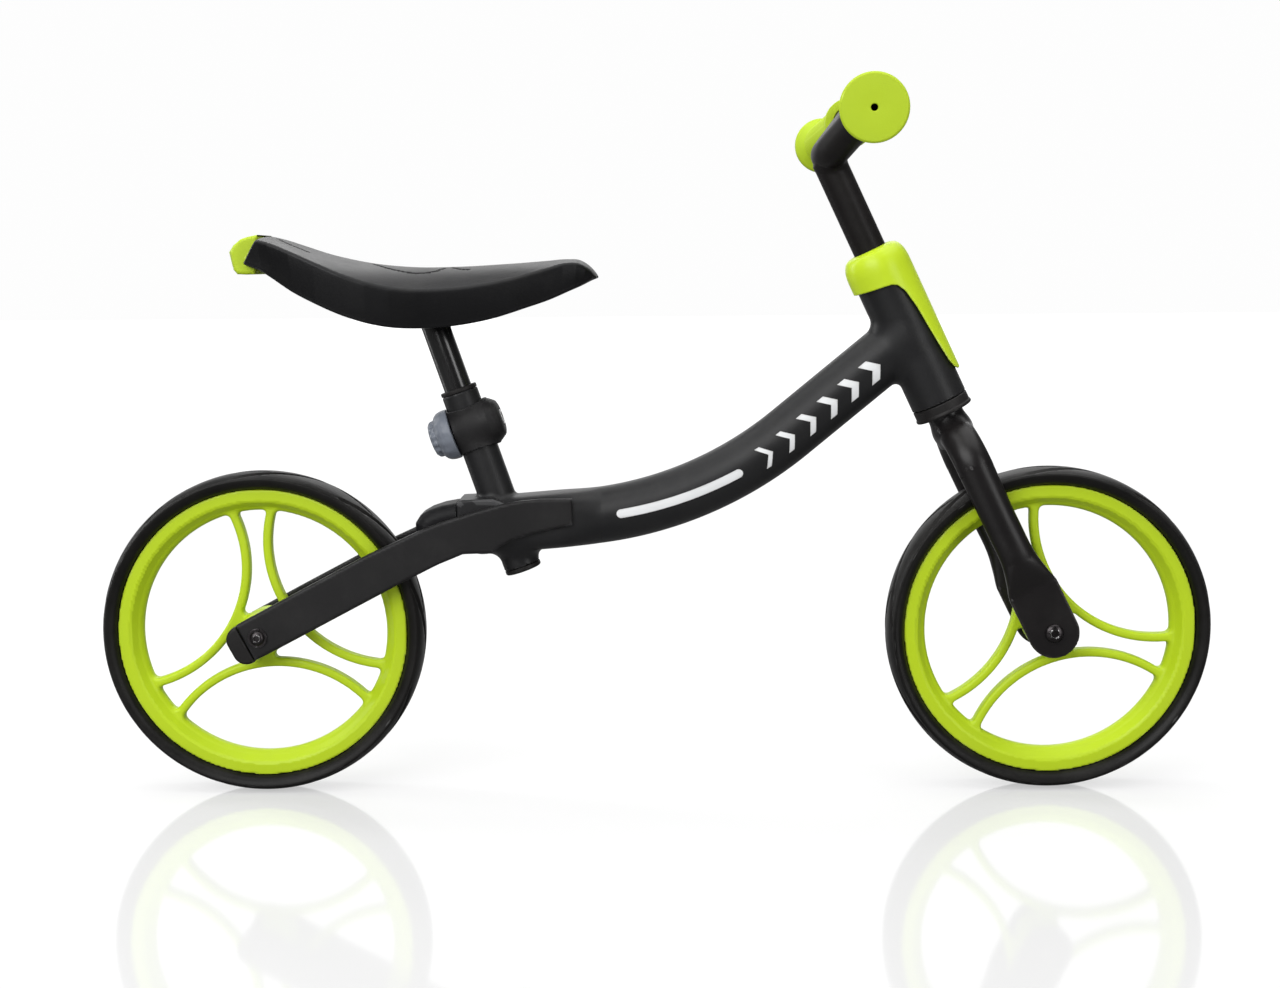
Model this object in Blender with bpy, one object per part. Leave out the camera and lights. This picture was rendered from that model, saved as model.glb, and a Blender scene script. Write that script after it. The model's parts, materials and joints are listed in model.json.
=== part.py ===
# Balance bike for a small child. Lengths are in millimetres and make_object scales them to metres.
# +X is forwards, +Y is the rider's left, +Z is up. The origin is on the ground, half way between the wheels.
import math

import bmesh
import bpy
from mathutils import Matrix, Vector

MM = 0.001
GAP = 0.3
ROUND_STEPS = 24
WHEEL_STEPS = 36
SMALL_STEPS = 10

# Driving dimensions
WHEEL_RADIUS = 108.0
HALF_WHEELBASE = 262.4
RIM_LIP_RADIUS = 96.8
RIM_INNER_RADIUS = 81.5
RIM_HALF_WIDTH = 11.3
TYRE_HALF_WIDTH = 17.0
HUB_RADIUS = 20.0
HUB_HALF_LENGTH = 15.4
BEARING_RADIUS = 11.0
BEARING_WIDTH = 7.0
AXLE_RADIUS = 4.0
SPOKE_ARC_RADIUS = 82.4
SPOKE_ARC_CENTRE = 104.0
SPOKE_HALF_WIDTH = 3.0
SPOKE_HALF_DEPTH = 5.0
SPOKE_SPREAD = math.radians(50.0)
REAR_SPOKE_TURN = math.radians(94.5)
FRONT_SPOKE_TURN = math.radians(106.0)

HEAD_RAKE = math.radians(25.1)
HEAD_TOP = (142.0, 0.0, 359.2)
HEAD_TUBE_RADIUS = 18.8
HEAD_TUBE_BORE = 16.1
HEAD_STACK = 118.3
COVER_RADIUS = 21.6
STEERER_RADIUS = 12.1
STEM_RADIUS = 10.9
STEM_INSERTED = 70.0
STEM_EXPOSED = 60.0
PIN_RADIUS = 2.5

SEAT_RAKE = math.radians(19.0)
SEAT_TOP = (-129.9, 0.0, 270.3)
SEAT_TUBE_RADIUS = 12.2
SEAT_TUBE_LENGTH = 129.0
POST_RADIUS = 9.3
CLAMP_DEPTH = 27.3
BOLT_RADIUS = 3.0
SEAT_UP = 26.0
SEAT_DOWN = 24.0

TUBE_HALF_HEIGHT = 18.8
TUBE_HALF_WIDTH = 17.0
TUBE_WALL = 1.6
TUBE_REAR_X = -56.7
TUBE_REAR_Z = 183.2
TUBE_REAR_SLOPE = math.radians(4.5)
TUBE_FRONT_SLOPE = math.radians(39.3)
TUBE_BEND_RADIUS = 250.0
JUNCTION_HALF_WIDTH = 19.0
STAY_INNER = 19.3
STAY_OUTER = 27.5
STAY_SLOPE = math.radians(27.8)
STAY_HALF_HEIGHT = 13.4

SCREW_HOLE_RADIUS = 2.8
SCREW_SHANK_RADIUS = 2.5
SCREW_REACH = 8.0
SPACER_RADIUS = 6.5
WASHER_RADIUS = 6.3
WASHER_THICKNESS = 1.0
REAR_SCREW_HEAD = 4.3
FRONT_SCREW_HEAD = 6.2
FORK_PLATE_INNER = 20.2
FORK_PLATE_OUTER = 25.8

BAR_RADIUS = 11.1
BAR_WALL = 1.5
BAR_HALF_LENGTH = 172.0
GRIP_RADIUS = 14.5
GRIP_FLANGE_RADIUS = 19.9
GRIP_END = 175.0


# Scene helpers

def clear_scene():
    for obj in list(bpy.data.objects):
        bpy.data.objects.remove(obj, do_unlink=True)


def make_material(name, colour, roughness, metallic=0.0):
    material = bpy.data.materials.new(name)
    material.use_nodes = True
    shader = material.node_tree.nodes["Principled BSDF"]
    shader.inputs["Base Color"].default_value = (*colour, 1.0)
    shader.inputs["Roughness"].default_value = roughness
    shader.inputs["Metallic"].default_value = metallic
    material.diffuse_color = (*colour, 1.0)
    return material


def make_frame(name, origin, tilt=0.0, parent=None):
    """An empty whose local Z leans rearwards by tilt. Pieces on it are drawn in its own axes."""
    empty = bpy.data.objects.new(name, None)
    bpy.context.scene.collection.objects.link(empty)
    empty.empty_display_size = 0.02
    empty.matrix_world = Matrix.Translation(Vector(origin) * MM) @ Matrix.Rotation(-tilt, 4, "Y")
    if parent is not None:
        bpy.context.view_layer.update()
        world = empty.matrix_world.copy()
        empty.parent = parent
        empty.matrix_parent_inverse = parent.matrix_world.inverted()
        empty.matrix_world = world
    return empty


def make_object(name, bm, frame, material):
    bmesh.ops.recalc_face_normals(bm, faces=bm.faces)
    bmesh.ops.scale(bm, vec=(MM, MM, MM), verts=bm.verts)
    mesh = bpy.data.meshes.new(name)
    bm.to_mesh(mesh)
    bm.free()
    mesh.shade_smooth()
    mesh.set_sharp_from_angle(angle=math.radians(35))
    obj = bpy.data.objects.new(name, mesh)
    bpy.context.scene.collection.objects.link(obj)
    obj.parent = frame
    if material is not None:
        mesh.materials.append(material)
    return obj


def make_cutter(name, bm, frame):
    cutter = make_object(name, bm, frame, None)
    cutter.hide_render = True
    cutter.display_type = "WIRE"
    return cutter


def boolean(obj, other, operation="DIFFERENCE"):
    modifier = obj.modifiers.new(other.name, "BOOLEAN")
    modifier.operation = operation
    modifier.object = other
    return obj


# Shape helpers: each one adds its shape to a bmesh

def turned(profile, steps=ROUND_STEPS, axis="Z", centre=(0.0, 0.0, 0.0), bm=None):
    """Turns (radius, height) points round an axis. An open profile starts and ends at radius 0."""
    bm = bm or bmesh.new()
    closed = profile[0][0] > 0.0
    rings = []
    for radius, height in profile:
        if radius == 0.0:
            rings.append([bm.verts.new(on_axis(axis, centre, 0.0, 0.0, height))])
            continue
        ring = []
        for step in range(steps):
            angle = 2.0 * math.pi * step / steps
            place = on_axis(axis, centre, radius * math.cos(angle), radius * math.sin(angle), height)
            ring.append(bm.verts.new(place))
        rings.append(ring)
    pairs = list(zip(rings, rings[1:]))
    if closed:
        pairs.append((rings[-1], rings[0]))
    for first, second in pairs:
        for step in range(steps):
            after = (step + 1) % steps
            corners = [first[step % len(first)], first[after % len(first)]]
            corners += [second[after % len(second)], second[step % len(second)]]
            bm.faces.new(list(dict.fromkeys(corners)))
    return bm


def on_axis(axis, centre, across, along, height):
    cx, cy, cz = centre
    if axis == "Z":
        return (cx + across, cy + along, cz + height)
    if axis == "Y":
        return (cx + across, cy + height, cz + along)
    return (cx + height, cy + across, cz + along)


def rod(radius, low, high, **place):
    return turned([(0.0, low), (radius, low), (radius, high), (0.0, high)], **place)


def pipe(outer, inner, low, high, **place):
    return turned([(inner, low), (outer, low), (outer, high), (inner, high)], **place)


def lofted(rings, bm=None, closed=False):
    """Joins rings of points with quads. Closed joins the last ring to the first instead of capping."""
    bm = bm or bmesh.new()
    loops = [[bm.verts.new(point) for point in ring] for ring in rings]
    pairs = list(zip(loops, loops[1:]))
    if closed:
        pairs.append((loops[-1], loops[0]))
    for first, second in pairs:
        count = len(first)
        for step in range(count):
            after = (step + 1) % count
            bm.faces.new([first[step], first[after], second[after], second[step]])
    if not closed:
        bm.faces.new(list(reversed(loops[0])))
        bm.faces.new(loops[-1])
    return bm


def slab(outline, low, high, bm=None):
    """Extrudes an (x, z) outline along Y."""
    rings = [[(x, y, z) for x, z in outline] for y in (low, high)]
    return lofted(rings, bm)


def block(low, high, bm=None):
    outline = [(low[0], low[2]), (high[0], low[2]), (high[0], high[2]), (low[0], high[2])]
    return slab(outline, low[1], high[1], bm)


def oval(centre, across, up, half_width, half_height, steps=20, power=2.0):
    """A ring of points on a superellipse in the plane of the two unit directions."""
    points = []
    for step in range(steps):
        angle = 2.0 * math.pi * step / steps
        side = math.copysign(abs(math.cos(angle)) ** (2.0 / power), math.cos(angle))
        rise = math.copysign(abs(math.sin(angle)) ** (2.0 / power), math.sin(angle))
        points.append(Vector(centre) + Vector(across) * half_width * side + Vector(up) * half_height * rise)
    return points


def arc_points(centre, radius, start, end, steps):
    """(x, z) points on an arc, angles in degrees."""
    points = []
    for step in range(steps + 1):
        angle = math.radians(start + (end - start) * step / steps)
        points.append((centre[0] + radius * math.cos(angle), centre[1] + radius * math.sin(angle)))
    return points


def filleted_path(corners, radius, steps):
    """A polyline whose inner corners are replaced by arcs of one radius."""
    corners = [Vector(corner) for corner in corners]
    path = [corners[0]]
    for before, corner, after in zip(corners, corners[1:], corners[2:]):
        back = (before - corner).normalized()
        ahead = (after - corner).normalized()
        half = back.angle(ahead) / 2.0
        middle = corner + (back + ahead).normalized() * radius / math.sin(half)
        start = (corner + back * radius / math.tan(half) - middle).normalized()
        end = (corner + ahead * radius / math.tan(half) - middle).normalized()
        for step in range(steps + 1):
            path.append(middle + start.slerp(end, step / steps).normalized() * radius)
    path.append(corners[-1])
    return path


# Wheels

def build_tyre(prefix, frame, material):
    half = [(RIM_LIP_RADIUS - 5.4, 7.6), (RIM_LIP_RADIUS + 0.4, 8.9), (RIM_LIP_RADIUS + 0.4, 14.6)]
    half += [(102.0, TYRE_HALF_WIDTH), (106.3, 12.5)]
    profile = half + [(WHEEL_RADIUS, 0.0)] + [(radius, -height) for radius, height in reversed(half)]
    return make_object(prefix + "_tyre", turned(profile, WHEEL_STEPS, "Y"), frame, material)


def build_rim(prefix, frame, material, turn):
    outer = [(RIM_LIP_RADIUS - 5.7, 8.3)]
    inner = [(RIM_INNER_RADIUS, 1.5), (89.0, RIM_HALF_WIDTH), (RIM_LIP_RADIUS, RIM_HALF_WIDTH)]
    profile = [(r, -y) for r, y in outer] + [(r, y) for r, y in reversed(outer)]
    profile += [(r, y) for r, y in reversed(inner)] + [(r, -y) for r, y in inner]
    rim = make_object(prefix + "_rim", turned(profile, WHEEL_STEPS, "Y"), frame, material)
    for index in range(3):
        direction = turn + math.pi + index * 2.0 * math.pi / 3.0
        boolean(rim, build_spoke_arc(f"{prefix}_spoke_arc_{index + 1}", frame, direction), "UNION")
    hub = make_cutter(prefix + "_hub", rod(HUB_RADIUS, -HUB_HALF_LENGTH, HUB_HALF_LENGTH, axis="Y"), frame)
    boolean(rim, hub, "UNION")
    seat = HUB_HALF_LENGTH - BEARING_WIDTH - GAP
    profile = [(0.0, -30.0), (BEARING_RADIUS + GAP, -30.0), (BEARING_RADIUS + GAP, -seat), (9.0, -seat)]
    profile += [(9.0, seat), (BEARING_RADIUS + GAP, seat), (BEARING_RADIUS + GAP, 30.0), (0.0, 30.0)]
    boolean(rim, make_cutter(prefix + "_hub_bore", turned(profile, 16, "Y"), frame))
    return rim


def build_spoke_arc(name, frame, direction):
    centre = (SPOKE_ARC_CENTRE * math.cos(direction), SPOKE_ARC_CENTRE * math.sin(direction))
    rings = []
    steps = 8
    for step in range(steps + 1):
        swing = direction + math.pi + SPOKE_SPREAD * (2.0 * step / steps - 1.0)
        ring = []
        for side, depth in ((-1, -1), (1, -1), (1, 1), (-1, 1)):
            radius = SPOKE_ARC_RADIUS + side * SPOKE_HALF_WIDTH
            x = centre[0] + radius * math.cos(swing)
            z = centre[1] + radius * math.sin(swing)
            ring.append((x, depth * SPOKE_HALF_DEPTH, z))
        rings.append(ring)
    return make_cutter(name, lofted(rings), frame)


def build_bearings(prefix, frame, material):
    middle = HUB_HALF_LENGTH - BEARING_WIDTH / 2.0
    for side, word in ((-1, "right"), (1, "left")):
        low = side * middle - BEARING_WIDTH / 2.0
        bearing = pipe(BEARING_RADIUS, AXLE_RADIUS + GAP, low, low + BEARING_WIDTH, steps=16, axis="Y")
        make_object(f"{prefix}_bearing_{word}", bearing, frame, material)


def build_hub_spacer(prefix, frame, material):
    half = HUB_HALF_LENGTH - BEARING_WIDTH - GAP
    spacer = pipe(SPACER_RADIUS, AXLE_RADIUS + GAP, -half, half, steps=12, axis="Y")
    make_object(prefix + "_hub_spacer", spacer, frame, material)


def build_wheel(prefix, frame, turn, materials):
    build_tyre(prefix, frame, materials["tyre"])
    build_rim(prefix, frame, materials["lime"], turn)
    build_bearings(prefix, frame, materials["steel"])
    build_hub_spacer(prefix, frame, materials["steel"])


def build_axle(prefix, frame, plate_inner, plate_outer, head_radius, materials):
    """A hollow axle between the plates, with a spacer and a screw on each side. The rear has washers too."""
    half = plate_inner - GAP
    axle = pipe(AXLE_RADIUS, SCREW_HOLE_RADIUS, -half, half, steps=12, axis="Y")
    make_object(prefix + "_axle", axle, frame, materials["steel"])
    for word, side in (("right", -1.0), ("left", 1.0)):
        ends = sorted((side * (HUB_HALF_LENGTH + GAP), side * half))
        spacer = pipe(SPACER_RADIUS, AXLE_RADIUS + GAP, ends[0], ends[1], steps=12, axis="Y")
        make_object(f"{prefix}_axle_spacer_{word}", spacer, frame, materials["steel"])
        head = plate_outer + GAP
        if prefix == "rear":
            ends = sorted((side * head, side * (head + WASHER_THICKNESS)))
            washer = pipe(WASHER_RADIUS, SCREW_HOLE_RADIUS, ends[0], ends[1], steps=12, axis="Y")
            make_object(f"{prefix}_axle_washer_{word}", washer, frame, materials["steel"])
            head += WASHER_THICKNESS + GAP
        tip = half - SCREW_REACH
        profile = [(0.0, tip), (SCREW_SHANK_RADIUS, tip), (SCREW_SHANK_RADIUS, head), (head_radius, head)]
        profile += [(head_radius, head + 1.0), (head_radius * 0.72, head + 2.4), (0.0, head + 2.4)]
        screw = turned([(radius, side * y) for radius, y in profile], 12, "Y")
        make_object(f"{prefix}_axle_screw_{word}", screw, frame, materials["screw"])


# Frame

def tube_path():
    """(x, z, slope) stations of the main tube's centre line: a line, a bend and a line to the head axis."""
    stations = [(TUBE_REAR_X, TUBE_REAR_Z, 0.0)]
    run = 8.0
    x = TUBE_REAR_X + run
    z = TUBE_REAR_Z + run * math.tan(TUBE_REAR_SLOPE)
    steps = 7
    turn = (TUBE_FRONT_SLOPE - TUBE_REAR_SLOPE) / steps
    slope = TUBE_REAR_SLOPE
    stations.append((x, z, slope))
    chord = 2.0 * TUBE_BEND_RADIUS * math.sin(turn / 2.0)
    for _ in range(steps):
        x += chord * math.cos(slope + turn / 2.0)
        z += chord * math.sin(slope + turn / 2.0)
        slope += turn
        stations.append((x, z, slope))
    reach = 98.0
    stations.append((x + reach * math.cos(slope), z + reach * math.sin(slope), slope))
    return stations


def build_main_tube(frame, head_frame, material):
    outer = []
    inner = []
    for x, z, slope in tube_path():
        up = (-math.sin(slope), 0.0, math.cos(slope))
        outer.append(oval((x, 0.0, z), (0, 1, 0), up, TUBE_HALF_WIDTH, TUBE_HALF_HEIGHT, 16))
        wide = TUBE_HALF_WIDTH - TUBE_WALL
        high = TUBE_HALF_HEIGHT - TUBE_WALL
        inner.append(oval((x, 0.0, z), (0, 1, 0), up, wide, high, 16))
    tube = make_object("main_tube", lofted(outer + inner[::-1], closed=True), frame, material)
    mouth = rod(HEAD_TUBE_RADIUS + GAP, -HEAD_STACK - 20.0, 20.0)
    return boolean(tube, make_cutter("head_tube_mouth", mouth, head_frame))


def build_head_tube(head_frame, material):
    tube = pipe(HEAD_TUBE_RADIUS, HEAD_TUBE_BORE, -HEAD_STACK + 8.6, -12.0)
    return make_object("head_tube", tube, head_frame, material)


def build_headset(head_frame, material):
    inner = STEERER_RADIUS + GAP
    sleeve = HEAD_TUBE_BORE - GAP
    flange = HEAD_TUBE_RADIUS
    low = -HEAD_STACK
    profile = [(inner, low), (flange - 1.0, low), (flange, low + 1.0), (flange, low + 8.2)]
    profile += [(sleeve, low + 8.2), (sleeve, low + 22.0), (inner, low + 22.0)]
    make_object("headset_lower", turned(profile), head_frame, material)
    rim = sleeve + 1.6
    profile = [(inner, -24.0), (sleeve, -24.0), (sleeve, -11.7), (rim, -11.7), (rim, -9.0), (inner, -9.0)]
    make_object("headset_upper", turned(profile), head_frame, material)


def build_head_cover(head_frame, materials):
    inner = HEAD_TUBE_RADIUS + GAP
    top = [(COVER_RADIUS, -14.5), (COVER_RADIUS - 0.9, -8.5), (COVER_RADIUS - 3.4, -3.8)]
    top += [(COVER_RADIUS - 7.2, -0.8), (COVER_RADIUS - 9.6, 0.0)]
    mouth = STEM_RADIUS + 0.4
    roof = [(mouth, 0.0), (mouth, -3.2), (mouth + 1.3, -3.2), (mouth + 5.7, -7.2), (inner, -11.0)]
    profile = [(inner, -95.0), (COVER_RADIUS, -95.0)] + top + roof
    cover = make_object("head_cover", turned(profile), head_frame, materials["lime"])
    edge = [(-30.0, -23.4), (1.5, -25.6), (5.0, -27.8), (8.0, -33.3), (10.6, -45.5), (12.3, -61.9)]
    edge += [(14.2, -77.5), (15.7, -88.4), (17.3, -93.0), (19.5, -94.7), (30.0, -94.9)]
    edge += [(30.0, -110.0), (-30.0, -110.0)]
    boolean(cover, make_cutter("head_cover_edge", slab(edge, -30.0, 30.0), head_frame))
    hole = rod(1.9, -40.0, -15.0, steps=SMALL_STEPS, axis="X", centre=(0.0, 0.0, -9.0))
    boolean(cover, make_cutter("head_cover_hole", hole, head_frame))
    screw = rod(1.6, -21.6, -19.1, steps=SMALL_STEPS, axis="X", centre=(0.0, 0.0, -9.0))
    make_object("head_cover_screw", screw, head_frame, materials["screw"])


def build_seat_tube(seat_frame, material):
    top = -2.9
    low = -SEAT_TUBE_LENGTH + 3.4
    tube = pipe(SEAT_TUBE_RADIUS, 11.2, low, top)
    tube = make_object("seat_tube", tube, seat_frame, material)
    hole = rod(BOLT_RADIUS + GAP, -30.0, 30.0, steps=SMALL_STEPS, axis="X", centre=(0.0, 0.0, -CLAMP_DEPTH))
    boolean(tube, make_cutter("clamp_bolt_hole", hole, seat_frame))
    return tube


def build_seat_tube_cap(seat_frame, material):
    low = -SEAT_TUBE_LENGTH
    profile = [(0.0, low), (10.8, low), (SEAT_TUBE_RADIUS, low + 1.2), (SEAT_TUBE_RADIUS, low + 3.1)]
    profile += [(10.9, low + 3.1), (10.9, low + 10.0), (0.0, low + 10.0)]
    return make_object("seat_tube_cap", turned(profile), seat_frame, material)


def build_clamp(seat_frame, knob_frame, materials):
    """The boss, its nut and the sleeve stay on the frame. The knob, its bolt and its washer turn."""
    depth = (0.0, 0.0, -CLAMP_DEPTH)
    profile = [(0.0, -11.8), (12.8, -11.8), (14.2, 0.0), (15.5, 11.0), (15.3, 17.0), (13.6, 20.3)]
    profile += [(9.5, 21.9), (6.2, 21.9), (6.2, 17.3), (0.0, 17.3)]
    boss = make_object("clamp_boss", turned(profile, 20, "X", depth), seat_frame, materials["frame"])
    boolean(boss, make_cutter("clamp_boss_bore", rod(SEAT_TUBE_RADIUS + GAP, -60.0, 10.0), seat_frame))
    boolean(boss, bpy.data.objects["clamp_bolt_hole"])
    nut = pipe(5.8, BOLT_RADIUS + 0.8, 17.6, 21.4, steps=6, axis="X", centre=depth)
    make_object("clamp_nut", nut, seat_frame, materials["steel"])
    profile = [(9.6, -45.0), (10.9, -45.0), (10.9, -2.6), (SEAT_TUBE_RADIUS, -2.6)]
    profile += [(SEAT_TUBE_RADIUS, -0.6), (SEAT_TUBE_RADIUS - 0.6, 0.0), (9.6, 0.0)]
    sleeve = make_object("seat_post_sleeve", turned(profile), seat_frame, materials["plastic"])
    boolean(sleeve, bpy.data.objects["clamp_bolt_hole"])
    bore = BOLT_RADIUS + GAP
    knob = [(0.0, -26.2), (bore, -26.2), (bore, -14.2), (16.4, -14.2), (17.1, -16.0), (17.1, -22.0)]
    knob += [(15.2, -23.0), (16.6, -24.5), (16.0, -26.8), (13.2, -28.0), (0.0, -28.3)]
    make_object("clamp_knob", turned(knob, 20, "X"), knob_frame, materials["knob"])
    bolt = rod(BOLT_RADIUS, -25.9, 20.8, steps=SMALL_STEPS, axis="X")
    make_object("clamp_bolt", bolt, knob_frame, materials["steel"])
    washer = pipe(8.5, bore, -13.8, -12.5, steps=16, axis="X")
    make_object("clamp_washer", washer, knob_frame, materials["steel"])


def build_junction(frame, seat_frame, material):
    outline = [(-130.6, 164.0), (-129.0, 162.5), (-57.0, 163.6), (-57.0, 202.4)]
    outline += [(-90.0, 200.2), (-128.6, 197.5), (-130.6, 195.5)]
    body = slab(outline, -JUNCTION_HALF_WIDTH, JUNCTION_HALF_WIDTH)
    body = make_object("rear_junction", body, frame, material)
    bore = rod(SEAT_TUBE_RADIUS + GAP, -150.0, 0.0)
    boolean(body, make_cutter("seat_tube_bore", bore, seat_frame))
    hollow = rod(14.5, -100.0, 5.0, steps=20, axis="X", centre=(-56.0, 0.0, 182.8))
    boolean(body, make_cutter("junction_hollow", hollow, frame))
    return body


def along_stay(ahead, up):
    """(x, z) of a point given along the stay from the rear axle, and square to it."""
    x = -HALF_WHEELBASE + ahead * math.cos(STAY_SLOPE) - up * math.sin(STAY_SLOPE)
    z = WHEEL_RADIUS + ahead * math.sin(STAY_SLOPE) + up * math.cos(STAY_SLOPE)
    return x, z


def build_stay_screw_hole(frame):
    axle = (-HALF_WHEELBASE, 0.0, WHEEL_RADIUS)
    hole = rod(SCREW_HOLE_RADIUS, -40.0, 40.0, steps=16, axis="Y", centre=axle)
    make_cutter("stay_screw_hole", hole, frame)


def build_stay(word, side, frame, material):
    outline = [along_stay(-9.3, -STAY_HALF_HEIGHT), (-126.0, 162.4), (-106.5, 162.9), (-93.0, 171.6)]
    outline += [(-54.2, 180.8), (-54.2, 198.4)]
    outline += [(-75.5, 198.4), (-99.7, 195.0), (-127.3, 187.4), (-154.3, 178.4)]
    outline += [along_stay(90.0, STAY_HALF_HEIGHT), along_stay(-9.3, STAY_HALF_HEIGHT)]
    rings = []
    for depth in (STAY_INNER, STAY_OUTER):
        ring = []
        for x, z in outline:
            taper = max(0.0, min(1.0, (x + 165.0) / 110.0))
            outer = STAY_OUTER - taper * 5.5
            ring.append((x, side * (depth if depth == STAY_INNER else outer), z))
        rings.append(ring)
    stay = make_object("rear_stay_" + word, lofted(rings), frame, material)
    return boolean(stay, bpy.data.objects["stay_screw_hole"])


def build_stay_plug(word, side, frame, material):
    half = STAY_HALF_HEIGHT - 0.2
    outline = [along_stay(-9.6, half), along_stay(-9.6, -half)]
    corner = 9.0
    for start, up in ((270.0, -half + corner), (180.0, half - corner)):
        for ahead, rise in arc_points((-20.5 + corner, up), corner, start, start - 90.0, 4):
            outline.append(along_stay(ahead, rise))
    low, high = sorted((side * STAY_INNER, side * STAY_OUTER))
    plug = slab(outline, low, high)
    return make_object("stay_plug_" + word, plug, frame, material)


def build_bridge_cover(frame, material):
    outline = [(-130.9, 166.0), (-130.9, 196.6), (-140.3, 195.0), (-148.8, 192.0), (-155.0, 188.0)]
    outline += [(-158.2, 182.5), (-158.2, 176.0), (-155.0, 170.0), (-150.0, 166.0)]
    return make_object("bridge_cover", slab(outline, -18.9, 18.9), frame, material)


# Steering

def build_fork(frame, materials):
    profile = [(11.3, -4.5), (STEERER_RADIUS, -4.5), (STEERER_RADIUS, -136.0), (11.3, -136.0)]
    crown = make_object("fork_crown", turned(profile), frame, materials["fork"])
    arch = []
    for step in range(13):
        swing = math.pi * step / 12
        y = -27.5 * math.cos(swing)
        z = -158.0 + 27.0 * math.sin(swing)
        out = Vector((0.0, -math.cos(swing), math.sin(swing) * 0.95)).normalized()
        arch.append(oval((0.4, y, z), (1, 0, 0), out, 11.8, 8.6, 14))
    boolean(crown, make_cutter("fork_arch", lofted(arch), frame), "UNION")
    bore = rod(11.2, -124.0, 5.0)
    boolean(crown, make_cutter("steerer_bore", bore, frame))
    build_dropout_hole(frame)
    for word, side in (("right", -1.0), ("left", 1.0)):
        build_blade(word, side, frame, materials["fork"])


def build_dropout_hole(frame):
    """A cutter on the front axle, whose place is turned from world axes into those of the steering frame."""
    ahead = HALF_WHEELBASE - HEAD_TOP[0]
    above = WHEEL_RADIUS - HEAD_TOP[2]
    forward = ahead * math.cos(HEAD_RAKE) + above * math.sin(HEAD_RAKE)
    up = -ahead * math.sin(HEAD_RAKE) + above * math.cos(HEAD_RAKE)
    hole = rod(SCREW_HOLE_RADIUS, -40.0, 40.0, steps=16, axis="Y", centre=(forward, 0.0, up))
    make_cutter("dropout_hole", hole, frame)


def build_blade(word, side, frame, material):
    """Stations down the blade: depth, fore-aft centre and half, sideways centre and half, power."""
    stations = [(158.4, 0.4, 11.6, 27.5, 8.4, 2.0), (190.0, 0.5, 11.3, 28.0, 7.6, 2.0)]
    stations += [(228.0, 1.3, 12.0, 27.2, 6.6, 2.2), (240.0, 1.5, 15.2, 24.8, 4.4, 2.6)]
    stations += [(247.0, 1.8, 16.8, 23.2, 3.0, 3.2), (279.0, 2.5, 16.9, 23.0, 2.8, 4.0)]
    stations += [(286.0, 2.5, 15.3, 23.0, 2.8, 4.0), (291.5, 2.5, 11.6, 23.0, 2.8, 4.0)]
    stations += [(295.5, 2.5, 4.8, 23.0, 2.8, 4.0)]
    rings = []
    for depth, middle, half, centre, thick, power in stations:
        rings.append(oval((middle, side * centre, -depth), (1, 0, 0), (0, 1, 0), half, thick, 16, power))
    blade = make_object("fork_blade_" + word, lofted(rings), frame, material)
    return boolean(blade, bpy.data.objects["dropout_hole"])


def bar_path(low, high):
    """The handlebar's centre line between two distances from the middle, on its straight outer part."""
    elbow = Vector((136.0, 56.0, 447.0))
    end = Vector((124.8, GRIP_END, 437.2))
    points = []
    for reach in (low, high):
        share = (reach - elbow.y) / (end.y - elbow.y)
        points.append(elbow.lerp(end, share))
    return points


def build_handlebar(world_frame, frame, materials):
    middle = Vector((109.8, 0.0, 415.1))
    outer, end = bar_path(56.0, BAR_HALF_LENGTH)
    flip = Vector((1.0, -1.0, 1.0))
    bend = filleted_path([end * flip, outer * flip, middle, outer, end], 30.0, 4)
    side = (outer - middle).cross(end - middle)
    side = Vector((side.x, 0.0, side.z)).normalized()
    rings = []
    for index, point in enumerate(bend):
        before = bend[max(index - 1, 0)]
        after = bend[min(index + 1, len(bend) - 1)]
        along = (after - before).normalized()
        across = side.cross(along).normalized()
        rings.append(oval(point, across, along.cross(across), BAR_RADIUS, BAR_RADIUS, 12))
    inside = grown(rings, -BAR_WALL)
    bar = make_object("handlebar", lofted(rings + inside[::-1], closed=True), world_frame, materials["fork"])
    keep_under(bar, frame)
    stem = pipe(STEM_RADIUS, 9.4, -STEM_INSERTED, STEM_EXPOSED)
    stem = make_object("stem", stem, frame, materials["fork"])
    saddle = make_cutter("bar_saddle", lofted(grown(rings, GAP)), world_frame)
    keep_under(saddle, frame)
    boolean(stem, saddle)
    place = (0.0, 0.0, -60.0)
    half = STEERER_RADIUS - 0.1
    pin = rod(PIN_RADIUS, -half, half, steps=SMALL_STEPS, axis="X", centre=place)
    make_object("stem_pin", pin, frame, materials["steel"])
    hole = rod(PIN_RADIUS + GAP, -13.0, 13.0, steps=SMALL_STEPS, axis="X", centre=place)
    make_cutter("stem_pin_hole", hole, frame)
    boolean(stem, bpy.data.objects["stem_pin_hole"])
    boolean(bpy.data.objects["fork_crown"], bpy.data.objects["stem_pin_hole"])
    for word, sign in (("right", -1.0), ("left", 1.0)):
        build_grip(word, sign, world_frame, frame, materials["lime"])


def grown(rings, by):
    """The same rings pushed outwards from their own centres."""
    wider = []
    for ring in rings:
        centre = sum(ring, Vector()) / len(ring)
        wider.append([point + (point - centre).normalized() * by for point in ring])
    return wider


def keep_under(obj, frame):
    """Hangs a piece that was drawn in world axes on a moving frame, without shifting it."""
    obj.parent = frame
    obj.matrix_parent_inverse = frame.matrix_world.inverted()


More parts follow.
